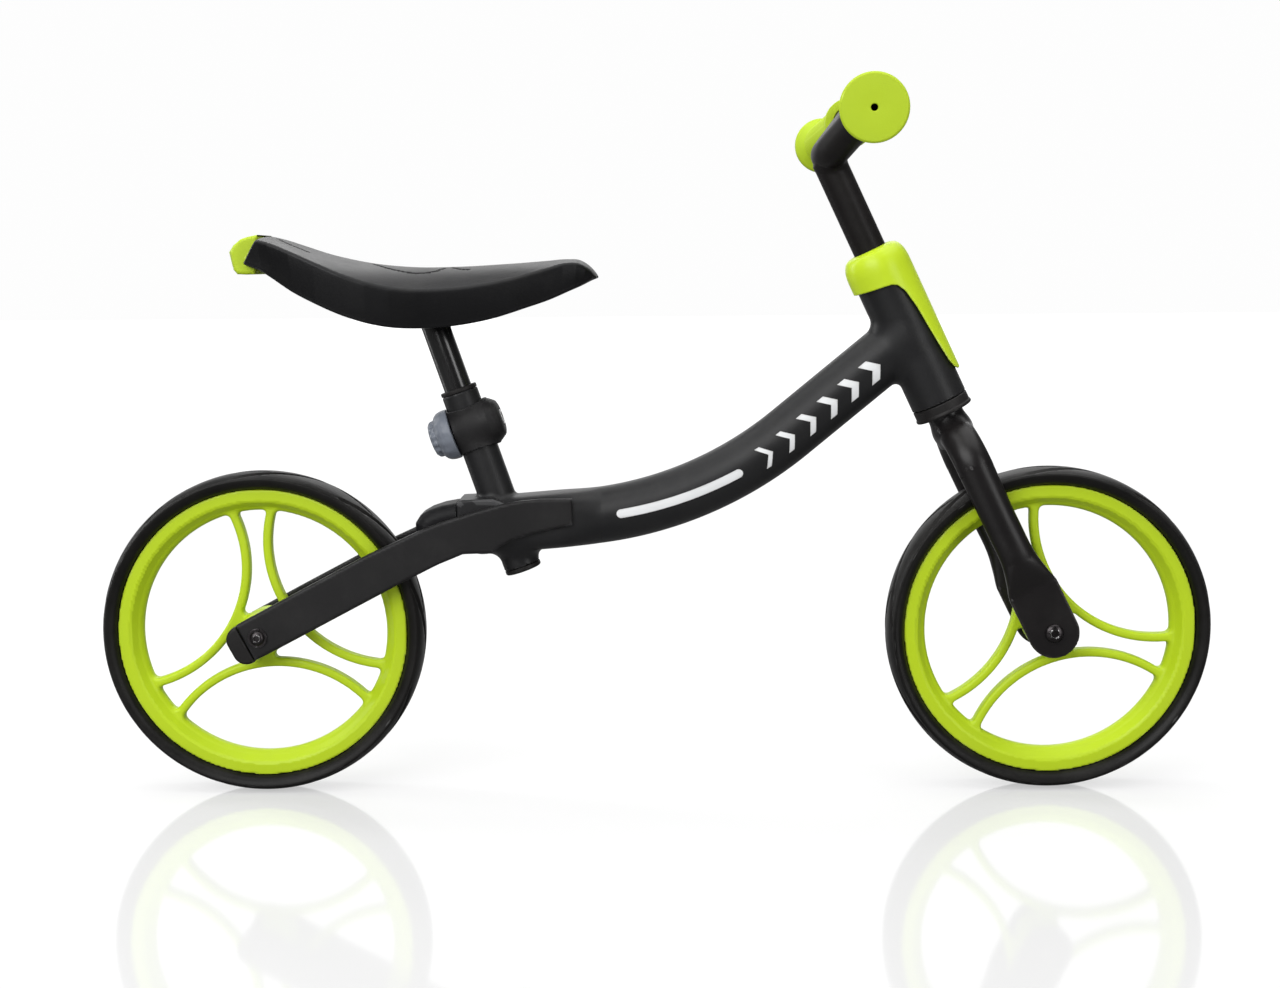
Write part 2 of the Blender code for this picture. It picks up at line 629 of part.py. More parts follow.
def build_grip(word, sign, world_frame, frame, material):
    start, end = bar_path(66.0, GRIP_END)
    flip = Vector((1.0, sign, 1.0))
    start = start * flip
    end = end * flip
    along = (end - start).normalized()
    across = Vector((0.0, 0.0, 1.0)).cross(along).normalized()
    up = along.cross(across)
    length = (end - start).length
    outside = [(0.0, 17.0), (4.0, 17.0), (6.0, GRIP_RADIUS), (length - 8.0, GRIP_RADIUS)]
    outside += [(length - 4.0, GRIP_FLANGE_RADIUS), (length, GRIP_FLANGE_RADIUS), (length, 2.0)]
    inside = [(length - 2.6, 2.0), (length - 2.6, BAR_RADIUS + GAP), (0.0, BAR_RADIUS + GAP)]
    rings = []
    for reach, radius in outside + inside:
        rings.append(oval(start + along * reach, across, up, radius, radius, 16))
    grip = make_object("grip_" + word, lofted(rings, closed=True), world_frame, material)
    keep_under(grip, frame)


# Seat

TAIL_LEAN = 0.48
SADDLE_STATIONS = [
    # x at the crown, crown z, crease z, crease half-width, bottom z, bottom half-width
    (-258.6, 370.2, 367.5, 30.0, 353.6, 27.0),
    (-246.0, 369.4, 365.0, 42.0, 345.0, 38.0),
    (-225.0, 362.8, 357.5, 51.0, 332.8, 47.0),
    (-200.0, 355.8, 347.5, 55.0, 320.6, 50.0),
    (-175.0, 351.4, 339.5, 55.0, 313.2, 49.0),
    (-150.0, 349.9, 335.6, 51.5, 310.8, 45.0),
    (-125.0, 350.2, 336.2, 45.0, 312.8, 39.0),
    (-100.0, 351.6, 340.0, 37.5, 318.0, 32.0),
    (-75.0, 353.4, 346.0, 31.5, 326.0, 27.0),
    (-56.0, 354.6, 351.0, 27.5, 333.5, 24.0),
    (-43.0, 351.5, 347.5, 21.0, 339.5, 18.0),
    (-36.5, 345.5, 344.0, 11.0, 341.8, 9.0),
]


def saddle_ring(station, shrink):
    """Points round the saddle from its right lower edge over the crown to its left lower edge."""
    x, crown, crease, crease_half, bottom, bottom_half = station
    lean = TAIL_LEAN if x < -250.0 else 0.0
    top = crown
    crown -= shrink
    crease -= shrink
    crease_half = max(crease_half - shrink, 2.0)
    bottom_half = max(bottom_half - shrink, 1.5)
    side = []
    for step in range(1, 5):
        angle = math.radians(22.5 * step)
        across = crease_half * math.sin(angle)
        side.append((across, crease + (crown - crease) * math.cos(angle) ** 1.3))
    side.append((crease_half - 0.5, crease - 0.35 * (crease - bottom)))
    side.append((bottom_half, bottom))
    left = [(x - lean * (top - z), across, z) for across, z in side]
    right = [(back, -across, z) for back, across, z in reversed(left)]
    return right + [(x, 0.0, crown)] + left


def build_saddle(frame, world_frame, materials):
    wall = 4.0
    outer = [saddle_ring(station, 0.0) for station in SADDLE_STATIONS]
    hollow = []
    for station in SADDLE_STATIONS[1:-1]:
        ring = saddle_ring(station, wall)
        low = [(ring[-1][0], ring[-1][1], ring[-1][2] - 20.0), (ring[0][0], ring[0][1], ring[0][2] - 20.0)]
        hollow.append(ring + low)
    shell = make_object("saddle_shell", lofted(outer), world_frame, materials["saddle"])
    keep_under(shell, frame)
    cavity = make_cutter("saddle_cavity", lofted(hollow), world_frame)
    keep_under(cavity, frame)
    boolean(shell, cavity)
    return shell


def build_saddle_base(frame, world_frame, materials):
    """A plate inside the shell, with a socket that takes the top of the post."""
    stations = [(-222.0, 36.0, 340.0, 345.0), (-200.0, 44.0, 331.0, 337.0), (-150.0, 38.0, 322.0, 330.0)]
    stations += [(-100.0, 24.0, 328.0, 334.0), (-66.0, 16.0, 338.0, 342.0)]
    rings = []
    for x, half, low, high in stations:
        rings.append([(x, -half, low), (x, half, low), (x, half, high), (x, -half, high)])
    base = make_object("saddle_base", lofted(rings), world_frame, materials["plastic"])
    keep_under(base, frame)
    collar = turned([(0.0, 49.0), (13.3, 49.0), (15.0, 64.0), (0.0, 64.0)])
    boolean(base, make_cutter("post_socket", collar, frame), "UNION")
    bore = make_cutter("post_bore", rod(POST_RADIUS + GAP, 30.0, 58.3), frame)
    boolean(base, bore)
    for word, x, z in (("rear", -205.0, 332.4), ("front", -95.0, 327.4)):
        screw = rod(3.4, -2.6, -GAP, steps=SMALL_STEPS, centre=(x, 0.0, z - 0.8))
        screw = make_object("saddle_screw_" + word, screw, world_frame, materials["screw"])
        keep_under(screw, frame)
    return base


def build_tail_grip(frame, world_frame, materials):
    """A lime bumper behind the saddle's tail. Its front face follows the lean of the shell."""
    rings = []
    for y in (-26.0, -18.0, -6.0, 6.0, 18.0, 26.0):
        back = 8.0 * (y / 26.0) ** 2
        trim = 1.5 if abs(y) > 20.0 else 0.0
        rings.append([(-278.3 + back, y, 360.0), (-275.0 + back, y, 364.6 - trim), (-264.0, y, 369.4 - trim),
                      (-261.2, y, 368.6 - trim), (-268.6, y, 352.2), (-266.0, y, 347.2 + trim),
                      (-272.4 + 0.3 * back, y, 346.2 + trim), (-276.0 + back * 0.8, y, 349.5)])
    grip = make_object("tail_grip", lofted(rings), world_frame, materials["lime"])
    keep_under(grip, frame)
    return grip


def build_seat_post(frame, materials):
    """The post is slotted where the clamp bolt crosses it, so that it slides without meeting the bolt."""
    low = -85.0
    post = make_object("seat_post", pipe(POST_RADIUS, 7.8, low, 58.0), frame, materials["gloss"])
    half = BOLT_RADIUS + 0.4
    slot_low = -CLAMP_DEPTH - SEAT_UP - half
    slot_high = -CLAMP_DEPTH + SEAT_DOWN + half - 0.1
    boolean(post, make_cutter("post_slot", block((-20.0, -half, slot_low), (20.0, half, slot_high)), frame))
    hole = rod(2.6, -20.0, 20.0, steps=SMALL_STEPS, axis="X", centre=(0.0, 0.0, 23.0))
    boolean(post, make_cutter("post_hole", hole, frame))
    profile = [(0.0, low - 2.4), (8.6, low - 2.4), (POST_RADIUS, low - 1.6), (POST_RADIUS, low - GAP)]
    profile += [(7.5, low - GAP), (7.5, low + 8.0), (0.0, low + 8.0)]
    make_object("post_plug", turned(profile), frame, materials["plastic"])


def main():
    clear_scene()
    materials = {
        "frame": make_material("frame_black", (0.012, 0.012, 0.014), 0.42),
        "fork": make_material("fork_black", (0.010, 0.009, 0.010), 0.3),
        "gloss": make_material("post_black", (0.008, 0.008, 0.009), 0.18),
        "plastic": make_material("black_plastic", (0.014, 0.013, 0.013), 0.45),
        "saddle": make_material("saddle_black", (0.014, 0.014, 0.016), 0.5),
        "lime": make_material("lime_plastic", (0.48, 0.67, 0.03), 0.42),
        "tyre": make_material("tyre_black", (0.010, 0.010, 0.012), 0.55),
        "knob": make_material("slate_plastic", (0.16, 0.19, 0.22), 0.4),
        "steel": make_material("bright_steel", (0.55, 0.55, 0.56), 0.3, 1.0),
        "screw": make_material("black_screw", (0.02, 0.02, 0.02), 0.3, 0.8),
    }
    world = make_frame("world_axes", (0.0, 0.0, 0.0))
    head = make_frame("head_axes", HEAD_TOP, HEAD_RAKE)
    steering = make_frame("steering_axis", HEAD_TOP, HEAD_RAKE)
    seat_tube = make_frame("seat_tube_axes", SEAT_TOP, SEAT_RAKE)
    seat = make_frame("seat_slide", SEAT_TOP, SEAT_RAKE)
    down = Vector((math.sin(SEAT_RAKE), 0.0, -math.cos(SEAT_RAKE)))
    knob = make_frame("clamp_knob_axis", Vector(SEAT_TOP) + down * CLAMP_DEPTH, SEAT_RAKE)
    rear = make_frame("rear_wheel_axis", (-HALF_WHEELBASE, 0.0, WHEEL_RADIUS))
    rear_fixed = make_frame("rear_axle_axes", (-HALF_WHEELBASE, 0.0, WHEEL_RADIUS))
    front = make_frame("front_wheel_axis", (HALF_WHEELBASE, 0.0, WHEEL_RADIUS), parent=steering)
    front_fixed = make_frame("front_axle_axes", (HALF_WHEELBASE, 0.0, WHEEL_RADIUS), parent=steering)
    bpy.context.view_layer.update()

    build_main_tube(world, head, materials["frame"])
    build_head_tube(head, materials["frame"])
    build_headset(head, materials["plastic"])
    build_head_cover(head, materials)
    build_seat_tube(seat_tube, materials["frame"])
    build_seat_tube_cap(seat_tube, materials["plastic"])
    build_clamp(seat_tube, knob, materials)
    build_junction(world, seat_tube, materials["frame"])
    build_bridge_cover(world, materials["gloss"])
    build_stay_screw_hole(world)
    for word, side in (("right", -1.0), ("left", 1.0)):
        build_stay(word, side, world, materials["frame"])
        build_stay_plug(word, side, world, materials["plastic"])
    build_axle("rear", rear_fixed, STAY_INNER, STAY_OUTER, REAR_SCREW_HEAD, materials)
    build_wheel("rear", rear, REAR_SPOKE_TURN, materials)
    build_fork(steering, materials)
    build_handlebar(world, steering, materials)
    build_axle("front", front_fixed, FORK_PLATE_INNER, FORK_PLATE_OUTER, FRONT_SCREW_HEAD, materials)
    build_wheel("front", front, FRONT_SPOKE_TURN, materials)
    build_saddle(seat, world, materials)
    build_saddle_base(seat, world, materials)
    build_tail_grip(seat, world, materials)
    build_seat_post(seat, materials)


main()
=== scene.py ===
import json
import math

import bpy
import numpy as np
from mathutils import Matrix, Vector


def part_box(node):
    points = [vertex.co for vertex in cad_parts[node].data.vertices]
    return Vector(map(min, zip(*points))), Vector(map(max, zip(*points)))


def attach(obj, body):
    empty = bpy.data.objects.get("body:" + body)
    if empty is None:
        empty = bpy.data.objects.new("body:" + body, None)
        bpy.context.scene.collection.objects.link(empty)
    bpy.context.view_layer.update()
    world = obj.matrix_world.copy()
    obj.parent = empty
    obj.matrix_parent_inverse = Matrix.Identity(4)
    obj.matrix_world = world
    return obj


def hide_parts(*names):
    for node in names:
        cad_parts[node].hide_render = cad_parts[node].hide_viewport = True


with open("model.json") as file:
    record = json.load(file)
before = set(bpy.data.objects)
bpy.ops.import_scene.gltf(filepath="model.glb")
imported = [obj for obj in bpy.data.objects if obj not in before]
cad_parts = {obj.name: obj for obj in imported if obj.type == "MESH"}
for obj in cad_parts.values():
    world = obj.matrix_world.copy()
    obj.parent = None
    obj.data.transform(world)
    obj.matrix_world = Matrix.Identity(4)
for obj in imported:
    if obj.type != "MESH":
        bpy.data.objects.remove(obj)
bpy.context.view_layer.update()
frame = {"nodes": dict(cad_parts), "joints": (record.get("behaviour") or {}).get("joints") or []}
mm = 0.001
creaseDegrees = 38  # pieces made of plain faces stay sharp past this angle
print("stage: frame loaded")


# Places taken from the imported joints

def jointNamed(name):
    return next(joint for joint in frame["joints"] if joint["name"] == name)


def placeOf(name):
    x, _, z = jointNamed(name)["pos_m"]
    return x / mm, z / mm


def leaningAxes(place, lean):
    # axes that lean back in the side view: "forward" and "up" are measured from the joint
    x, z = placeOf(place)
    axis = jointNamed(lean)["axis"]
    return {"x": x, "z": z, "sin": -axis[0], "cos": axis[2]}


headAxes = leaningAxes("steering_turn", "steering_turn")
seatAxes = leaningAxes("seat_height", "seat_height")
knobAxes = leaningAxes("knob_turn", "seat_height")
rearHub = placeOf("rear_wheel_spin")
frontHub = placeOf("front_wheel_spin")


def inAxes(axes, x, z):
    dx = x - axes["x"]
    dz = z - axes["z"]
    return dx * axes["cos"] + dz * axes["sin"], -dx * axes["sin"] + dz * axes["cos"]


def fromAxes(axes, forward, up):
    x = axes["x"] + forward * axes["cos"] - up * axes["sin"]
    return x, axes["z"] + forward * axes["sin"] + up * axes["cos"]


def boxAround(nodes, margin=3.0):
    corners = [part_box(node) for node in nodes]
    low = [min(pair[0][i] for pair in corners) / mm - margin for i in range(3)]
    high = [max(pair[1][i] for pair in corners) / mm + margin for i in range(3)]
    return np.array(low), np.array(high)


# Making pieces

def addPiece(name, places, faces, look, body, nodes=(), normals=None):
    mesh = bpy.data.meshes.new(name)
    mesh.from_pydata((np.asarray(places, float) * mm).tolist(), [], [list(face) for face in faces])
    mesh.shade_smooth()
    if normals is None:
        mesh.set_sharp_from_angle(angle=math.radians(creaseDegrees))
    else:
        mesh.normals_split_custom_set_from_vertices(normals.tolist())
    mesh.materials.append(look)
    piece = bpy.data.objects.new(name, mesh)
    bpy.context.scene.collection.objects.link(piece)
    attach(piece, body)
    if nodes:
        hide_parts(*nodes)
    return piece


def eased(points, size, closed=False, steps=4):
    # swaps each corner of an outline for a small curve
    points = [np.array(point, float) for point in points]
    count = len(points)
    curve = []
    for index, corner in enumerate(points):
        if not closed and index in (0, count - 1):
            curve.append(tuple(corner))
            continue
        arms = [points[index - 1] - corner, points[(index + 1) % count] - corner]
        ends = [corner + arm * min(size / np.linalg.norm(arm), 0.45) for arm in arms]
        for step in range(steps + 1):
            t = step / steps
            curve.append(tuple(ends[0] * (1 - t) ** 2 + corner * 2 * t * (1 - t) + ends[1] * t * t))
    return curve


def turnedMesh(profile, steps, place, shape=None):
    # turns (radius, height) points round the third axis of place; shape may push each point in or out
    closed = profile[0][0] > 0
    places, rings, faces = [], [], []
    for radius, height in profile:
        count = steps if radius > 0 else 1
        rings.append(range(len(places), len(places) + count))
        for step in range(count):
            angle = 2 * math.pi * step / steps
            out = radius if shape is None else shape(radius, height, angle)
            places.append(place @ Vector((out * math.cos(angle), out * math.sin(angle), height)))
    pairs = list(zip(rings, rings[1:])) + ([(rings[-1], rings[0])] if closed else [])
    for first, second in pairs:
        for step in range(steps):
            after = (step + 1) % steps
            corners = [first[step % len(first)], first[after % len(first)]]
            corners += [second[after % len(second)], second[step % len(second)]]
            faces.append(list(dict.fromkeys(corners)))
    return turnedOut(places, faces)


def turnedOut(places, faces):
    # flips the faces if the closed mesh is inside out
    spots = np.array([tuple(place) for place in places])
    middle = spots.mean(axis=0)
    volume = 0.0
    for face in faces:
        a, b, c = (spots[corner] - middle for corner in (face[0], face[1], face[2]))
        volume += np.dot(a, np.cross(b, c))
        if len(face) == 4:
            d = spots[face[3]] - middle
            volume += np.dot(a, np.cross(c, d))
    if volume < 0:
        faces = [face[::-1] for face in faces]
    return spots, faces


def alongUp(axes, y=0.0):
    # a matrix whose third axis is the leaning axis
    columns = ((axes["cos"], 0, axes["sin"]), (0, 1, 0), (-axes["sin"], 0, axes["cos"]))
    return Matrix.Translation((axes["x"], y, axes["z"])) @ Matrix(columns).transposed().to_4x4()


def alongForward(axes, up=0.0):
    x, z = fromAxes(axes, 0.0, up)
    columns = ((axes["sin"], 0, -axes["cos"]), (0, 1, 0), (axes["cos"], 0, axes["sin"]))
    return Matrix.Translation((x, 0, z)) @ Matrix(columns).transposed().to_4x4()


def alongSide(place, side=1.0):
    # the third axis points to the rider's left, or to the right where side is -1
    columns = ((side, 0, 0), (0, 0, -1), (0, side, 0))
    return Matrix.Translation((place[0], 0, place[1])) @ Matrix(columns).transposed().to_4x4()


def loftedMesh(rings, closed=False):
    count = len(rings[0])
    places = [tuple(point) for ring in rings for point in ring]
    faces = []
    total = len(rings) if closed else len(rings) - 1
    for index in range(total):
        low = index * count
        high = ((index + 1) % len(rings)) * count
        for step in range(count):
            after = (step + 1) % count
            faces.append([low + step, low + after, high + after, high + step])
    if not closed:
        faces.append(list(range(count))[::-1])
        faces.append([(len(rings) - 1) * count + step for step in range(count)])
    return turnedOut(places, faces)


# Distance fields: each gives the distance to a surface, below zero inside it

def merged(first, second, fillet):
    corner = np.hypot(np.maximum(fillet - first, 0), np.maximum(fillet - second, 0))
    return np.maximum(fillet, np.minimum(first, second)) - corner


def kept(first, second, ease):
    return -merged(-first, -second, ease)


def carved(body, cutter, ease):
    return kept(body, -cutter, ease)


def outlineField(u, v, points):
    nearest = np.inf
    sign = 1.0
    for (u1, v1), (u2, v2) in zip(points, points[-1:] + points[:-1]):
        eu, ev = u2 - u1, v2 - v1
        wu, wv = u - u1, v - v1
        share = np.clip((wu * eu + wv * ev) / (eu * eu + ev * ev), 0, 1)
        nearest = np.minimum(nearest, (wu - eu * share) ** 2 + (wv - ev * share) ** 2)
        over, under, beside = v >= v1, v < v2, eu * wv > ev * wu
        flip = (over & under & beside) | ~(over | under | beside)
        sign = np.where(flip, -sign, sign)
    return sign * np.sqrt(nearest)


def thickened(flat, across, half, ease):
    return kept(flat, np.abs(across) - half, ease)


def rodField(across, side, up, radius, low, high, ease):
    ends = np.abs(up - (low + high) / 2) - (high - low) / 2
    return kept(np.hypot(across, side) - radius, ends, ease)


def lineDistance(u, v, points):
    nearest = np.inf
    for (u1, v1), (u2, v2) in zip(points, points[1:]):
        eu, ev = u2 - u1, v2 - v1
        share = np.clip(((u - u1) * eu + (v - v1) * ev) / (eu * eu + ev * ev), 0, 1)
        nearest = np.minimum(nearest, np.hypot(u - u1 - eu * share, v - v1 - ev * share))
    return nearest


def smoothAlong(x, at, values):
    # a cubic through the values that stations at certain places have
    slopes = np.gradient(values, at)
    index = np.clip(np.searchsorted(at, x) - 1, 0, len(at) - 2)
    width = at[index + 1] - at[index]
    t = np.clip((x - at[index]) / width, 0, 1)
    a, b = values[index], values[index + 1]
    leaving = slopes[index] * width * (t ** 3 - 2 * t ** 2 + t)
    arriving = slopes[index + 1] * width * (t ** 3 - t ** 2)
    return a * (2 * t ** 3 - 3 * t ** 2 + 1) + b * (3 * t ** 2 - 2 * t ** 3) + leaving + arriving


net = {"nudge": 0.04, "pulls": 6, "leastSlope": 0.05, "stray": 1.2}


def gradientAt(field, spots):
    nudge = net["nudge"]
    slopes = []
    for axis in range(3):
        ahead, behind = spots.copy(), spots.copy()
        ahead[:, axis] += nudge
        behind[:, axis] -= nudge
        slopes.append((field(*ahead.T) - field(*behind.T)) / (2 * nudge))
    return np.stack(slopes, 1)


def skinOf(field, low, high, cell):
    # a net of four-sided faces over the field's zero surface, then pulled exactly onto it
    counts = np.ceil((high - low) / cell).astype(int) + 1
    lines = [low[axis] + cell * np.arange(counts[axis]) for axis in range(3)]
    x, y, z = np.meshgrid(*lines, indexing="ij", sparse=True)
    solid = np.broadcast_to(field(x, y, z) < 0, counts)
    filled = np.zeros(counts - 1, np.int8)
    for corner in range(8):
        shift = [(corner >> axis) & 1 for axis in range(3)]
        filled += solid[tuple(slice(step, step + n - 1) for step, n in zip(shift, counts))]
    crossed = (filled > 0) & (filled < 8)
    number = np.full(crossed.shape, -1)
    number[crossed] = np.arange(np.count_nonzero(crossed))
    spots = (np.argwhere(crossed) + 0.5) * cell + low
    faces = []
    for axis in range(3):
        order = (axis, (axis + 1) % 3, (axis + 2) % 3)
        block = np.transpose(solid, order)
        cells = np.transpose(number, order)
        here, there = block[:-1, 1:-1, 1:-1], block[1:, 1:-1, 1:-1]
        for edges, flip in ((here & ~there, 1), (there & ~here, -1)):
            i, j, k = np.nonzero(edges)
            ring = [cells[i, j, k], cells[i, j + 1, k], cells[i, j + 1, k + 1], cells[i, j, k + 1]]
            faces.append(np.stack(ring[::flip], 1))
    start = spots.copy()
    for _ in range(net["pulls"]):
        slope = gradientAt(field, spots)
        push = field(*spots.T) / np.maximum((slope ** 2).sum(1), net["leastSlope"])
        spots -= slope * np.clip(push, -cell, cell)[:, None]
    strayed = np.abs(spots - start).max(1) > net["stray"] * cell
    spots[strayed] = start[strayed]
    slope = gradientAt(field, spots)
    normals = slope / np.maximum(np.linalg.norm(slope, axis=1), 1e-6)[:, None]
    return spots, np.concatenate(faces), normals


def fieldPiece(name, field, look, body, nodes, cell, box=None):
    low, high = box or boxAround(nodes)
    spots, faces, normals = skinOf(field, low, high, cell)
    print("stage:", name, len(faces), "faces")
    return addPiece(name, spots, faces, look, body, nodes, normals)


# Node trees

def newGroup(name, takes, gives):
    group = bpy.data.node_groups.new(name, "ShaderNodeTree")
    for socket, kind, value in takes:
        made = group.interface.new_socket(name=socket, in_out="INPUT", socket_type=kind)
        if value is not None:
            made.default_value = value
    for socket, kind in gives:
        group.interface.new_socket(name=socket, in_out="OUTPUT", socket_type=kind)
    start = group.nodes.new("NodeGroupInput")
    end = group.nodes.new("NodeGroupOutput")
    return group, start.outputs, end.inputs


def addNode(tree, kind, settings=None, values=None, links=None):
    node = tree.nodes.new("ShaderNode" + kind)
    for key, value in (settings or {}).items():
        setattr(node, key, value)
    for key, value in (values or {}).items():
        node.inputs[key].default_value = value
    for key, source in (links or {}).items():
        tree.links.new(source, node.inputs[key])
    return node


# Camera and light

camera = {
    "place": (2.2, -1263.1, 349.7), "turn": -0.544, "drop": 6.81, "roll": -0.399,
    "lens": 53.66, "sensor": 36.0, "clip": (0.05, 60.0),
}
studio = {
    "sky": 0.12, "backdrop": 1.0, "air": (0.985, 0.985, 0.985), "wall": (0.75, 0.9),
    # name: (place in metres, aimed at, width, height, watts)
    "lights": {
        "overheadSoftbox": ((0.0, -0.1, 2.0), (0.0, 0.0, 0.2), 3.2, 2.4, 52.0),
        "frontLeftSoftbox": ((-1.2, -2.3, 1.4), (0.0, 0.0, 0.2), 2.2, 1.8, 64.0),
        "frontRightStrip": ((1.8, -1.9, 0.7), (0.0, 0.0, 0.25), 0.8, 1.6, 17.0),
        "backStrip": ((0.2, 1.8, 1.5), (0.0, 0.0, 0.25), 2.2, 0.6, 10.0),
        "leftEdgeStrip": ((-1.9, 0.7, 0.9), (0.0, 0.0, 0.3), 0.3, 1.6, 14.0),
    },
}
floorPaper = {
    # the sheet gives most of its own white, less where the bike stands so that its shade shows
    "near": 0.49, "far": 0.56, "paper": 0.32, "bounce": 0.22, "reach": (0.60, 1.60), "rough": 0.07,
    "shine": 0.34, "half": 12.0, "sink": 0.0003,
}


def makeCamera():
    data = bpy.data.cameras.new("sideCamera")
    data.sensor_width = camera["sensor"]
    data.lens = camera["lens"]
    data.clip_start, data.clip_end = camera["clip"]
    seer = bpy.data.objects.new("sideCamera", data)
    bpy.context.scene.collection.objects.link(seer)
    turn, drop, roll = (math.radians(camera[key]) for key in ("turn", "drop", "roll"))
    ahead = Vector((math.sin(turn) * math.cos(drop), math.cos(turn) * math.cos(drop), -math.sin(drop)))
    right = Vector((math.cos(turn), -math.sin(turn), 0))
    up = right.cross(ahead)
    across = right * math.cos(roll) + up * math.sin(roll)
    above = up * math.cos(roll) - right * math.sin(roll)
    seer.matrix_world = Matrix((across, above, -ahead)).transposed().to_4x4()
    seer.location = Vector(camera["place"]) * mm
    bpy.context.scene.camera = seer


def makeStudio():
    scene = bpy.context.scene
    scene.view_settings.view_transform = "Standard"
    world = bpy.data.worlds.new("studioAir")
    scene.world = world
    world.use_nodes = True
    tree = world.node_tree
    air = tree.nodes["Background"]
    # the white wall behind the bike also shows in reflections
    path = addNode(tree, "LightPath").outputs
    way = addNode(tree, "SeparateXYZ", None, {},
                  {"Vector": addNode(tree, "TexCoord").outputs["Generated"]})
    low, high = studio["wall"]
    wall = addNode(tree, "MapRange", None, {"From Min": low, "From Max": high},
                   {"Value": way.outputs["Y"]})
    mirrored = addNode(tree, "Math", {"operation": "MULTIPLY"}, {},
                       {0: wall.outputs[0], 1: path["Is Glossy Ray"]})
    white = addNode(tree, "Math", {"operation": "MAXIMUM"}, {},
                    {0: mirrored.outputs[0], 1: path["Is Camera Ray"]})
    level = addNode(tree, "MapRange", None, {"To Min": studio["sky"], "To Max": studio["backdrop"]},
                    {"Value": white.outputs[0]})
    tree.links.new(level.outputs["Result"], air.inputs["Strength"])
    air.inputs["Color"].default_value = (*studio["air"], 1)
    for name, (place, target, width, height, watts) in studio["lights"].items():
        data = bpy.data.lights.new(name, "AREA")
        data.shape = "RECTANGLE"
        data.size = width
        data.size_y = height
        data.energy = watts
        lamp = bpy.data.objects.new(name, data)
        lamp.visible_camera = False
        scene.collection.objects.link(lamp)
        lamp.location = place
        lamp.rotation_euler = (Vector(place) - Vector(target)).to_track_quat("Z", "Y").to_euler()


makeCamera()
makeStudio()
print("stage: camera and light")


# Floor, and effects that several finishes share

def makePaper():
    material = bpy.data.materials.new("floorPaper")
    material.use_nodes = True
    tree = material.node_tree
    shader = tree.nodes["Principled BSDF"]
    place = addNode(tree, "TexCoord").outputs["Object"]
    away = addNode(tree, "VectorMath", {"operation": "LENGTH"}, {}, {0: place})
    low, high = floorPaper["reach"]
    far = addNode(tree, "MapRange", {"interpolation_type": "SMOOTHSTEP"},
                  {"From Min": low, "From Max": high},
                  {"Value": away.outputs["Value"]})
    white = addNode(tree, "MapRange", None, {"To Min": floorPaper["near"], "To Max": floorPaper["far"]},
                    {"Value": far.outputs["Result"]})
    lit = addNode(tree, "MapRange", None, {"To Min": floorPaper["paper"], "To Max": 0.0},
                  {"Value": far.outputs["Result"]})
    seen = addNode(tree, "LightPath").outputs["Is Camera Ray"]
    glow = addNode(tree, "Math", {"operation": "MULTIPLY"}, {}, {0: white.outputs["Result"], 1: seen})
    tone = addNode(tree, "MapRange", None, {"To Min": floorPaper["bounce"]},
                   {"Value": seen, "To Max": lit.outputs["Result"]})
    tree.links.new(tone.outputs["Result"], shader.inputs["Base Color"])
    tree.links.new(glow.outputs[0], shader.inputs["Emission Strength"])
    shader.inputs["Emission Color"].default_value = (1, 1, 1, 1)
    shader.inputs["Roughness"].default_value = floorPaper["rough"]
    shader.inputs["Specular IOR Level"].default_value = floorPaper["shine"]
    return material


def makeFloor():
    half = floorPaper["half"]
    mesh = bpy.data.meshes.new("floor")
    corners = [(-half, -half, 0), (half, -half, 0), (half, half, 0), (-half, half, 0)]
    mesh.from_pydata(corners, [], [(0, 1, 2, 3)])
    floor = bpy.data.objects.new("floor", mesh)
    floor.location.z = -floorPaper["sink"]
    bpy.context.scene.collection.objects.link(floor)
    mesh.materials.append(makePaper())


makeFloor()
print("stage: floor")


def makeMouldGrain():
    # the fine orange peel of moulded or sprayed skin, and slow colour drift across it
    takes = [("Place", "NodeSocketVector", None), ("Size", "NodeSocketFloat", 1500.0),
             ("Drift", "NodeSocketFloat", 14.0)]
    gives = [("Height", "NodeSocketFloat"), ("Mottle", "NodeSocketFloat")]
    group, given, result = newGroup("mouldGrain", takes, gives)
    fine = addNode(group, "TexNoise", None, {"Detail": 3.0, "Roughness": 0.55},
                   {"Vector": given["Place"], "Scale": given["Size"]})
    cells = addNode(group, "TexVoronoi", None, {}, {"Vector": given["Place"], "Scale": given["Size"]})
    blend = addNode(group, "Math", {"operation": "MULTIPLY_ADD"}, {1: 0.45},
                    {0: cells.outputs["Distance"], 2: fine.outputs[0]})
    slow = addNode(group, "TexNoise", None, {"Detail": 4.0, "Roughness": 0.6},
                   {"Vector": given["Place"], "Scale": given["Drift"]})
    spread = addNode(group, "MapRange", None, {"From Min": 0.3, "From Max": 0.7},
                     {"Value": slow.outputs[0]})
    group.links.new(blend.outputs[0], result["Height"])
    group.links.new(spread.outputs["Result"], result["Mottle"])
    return group


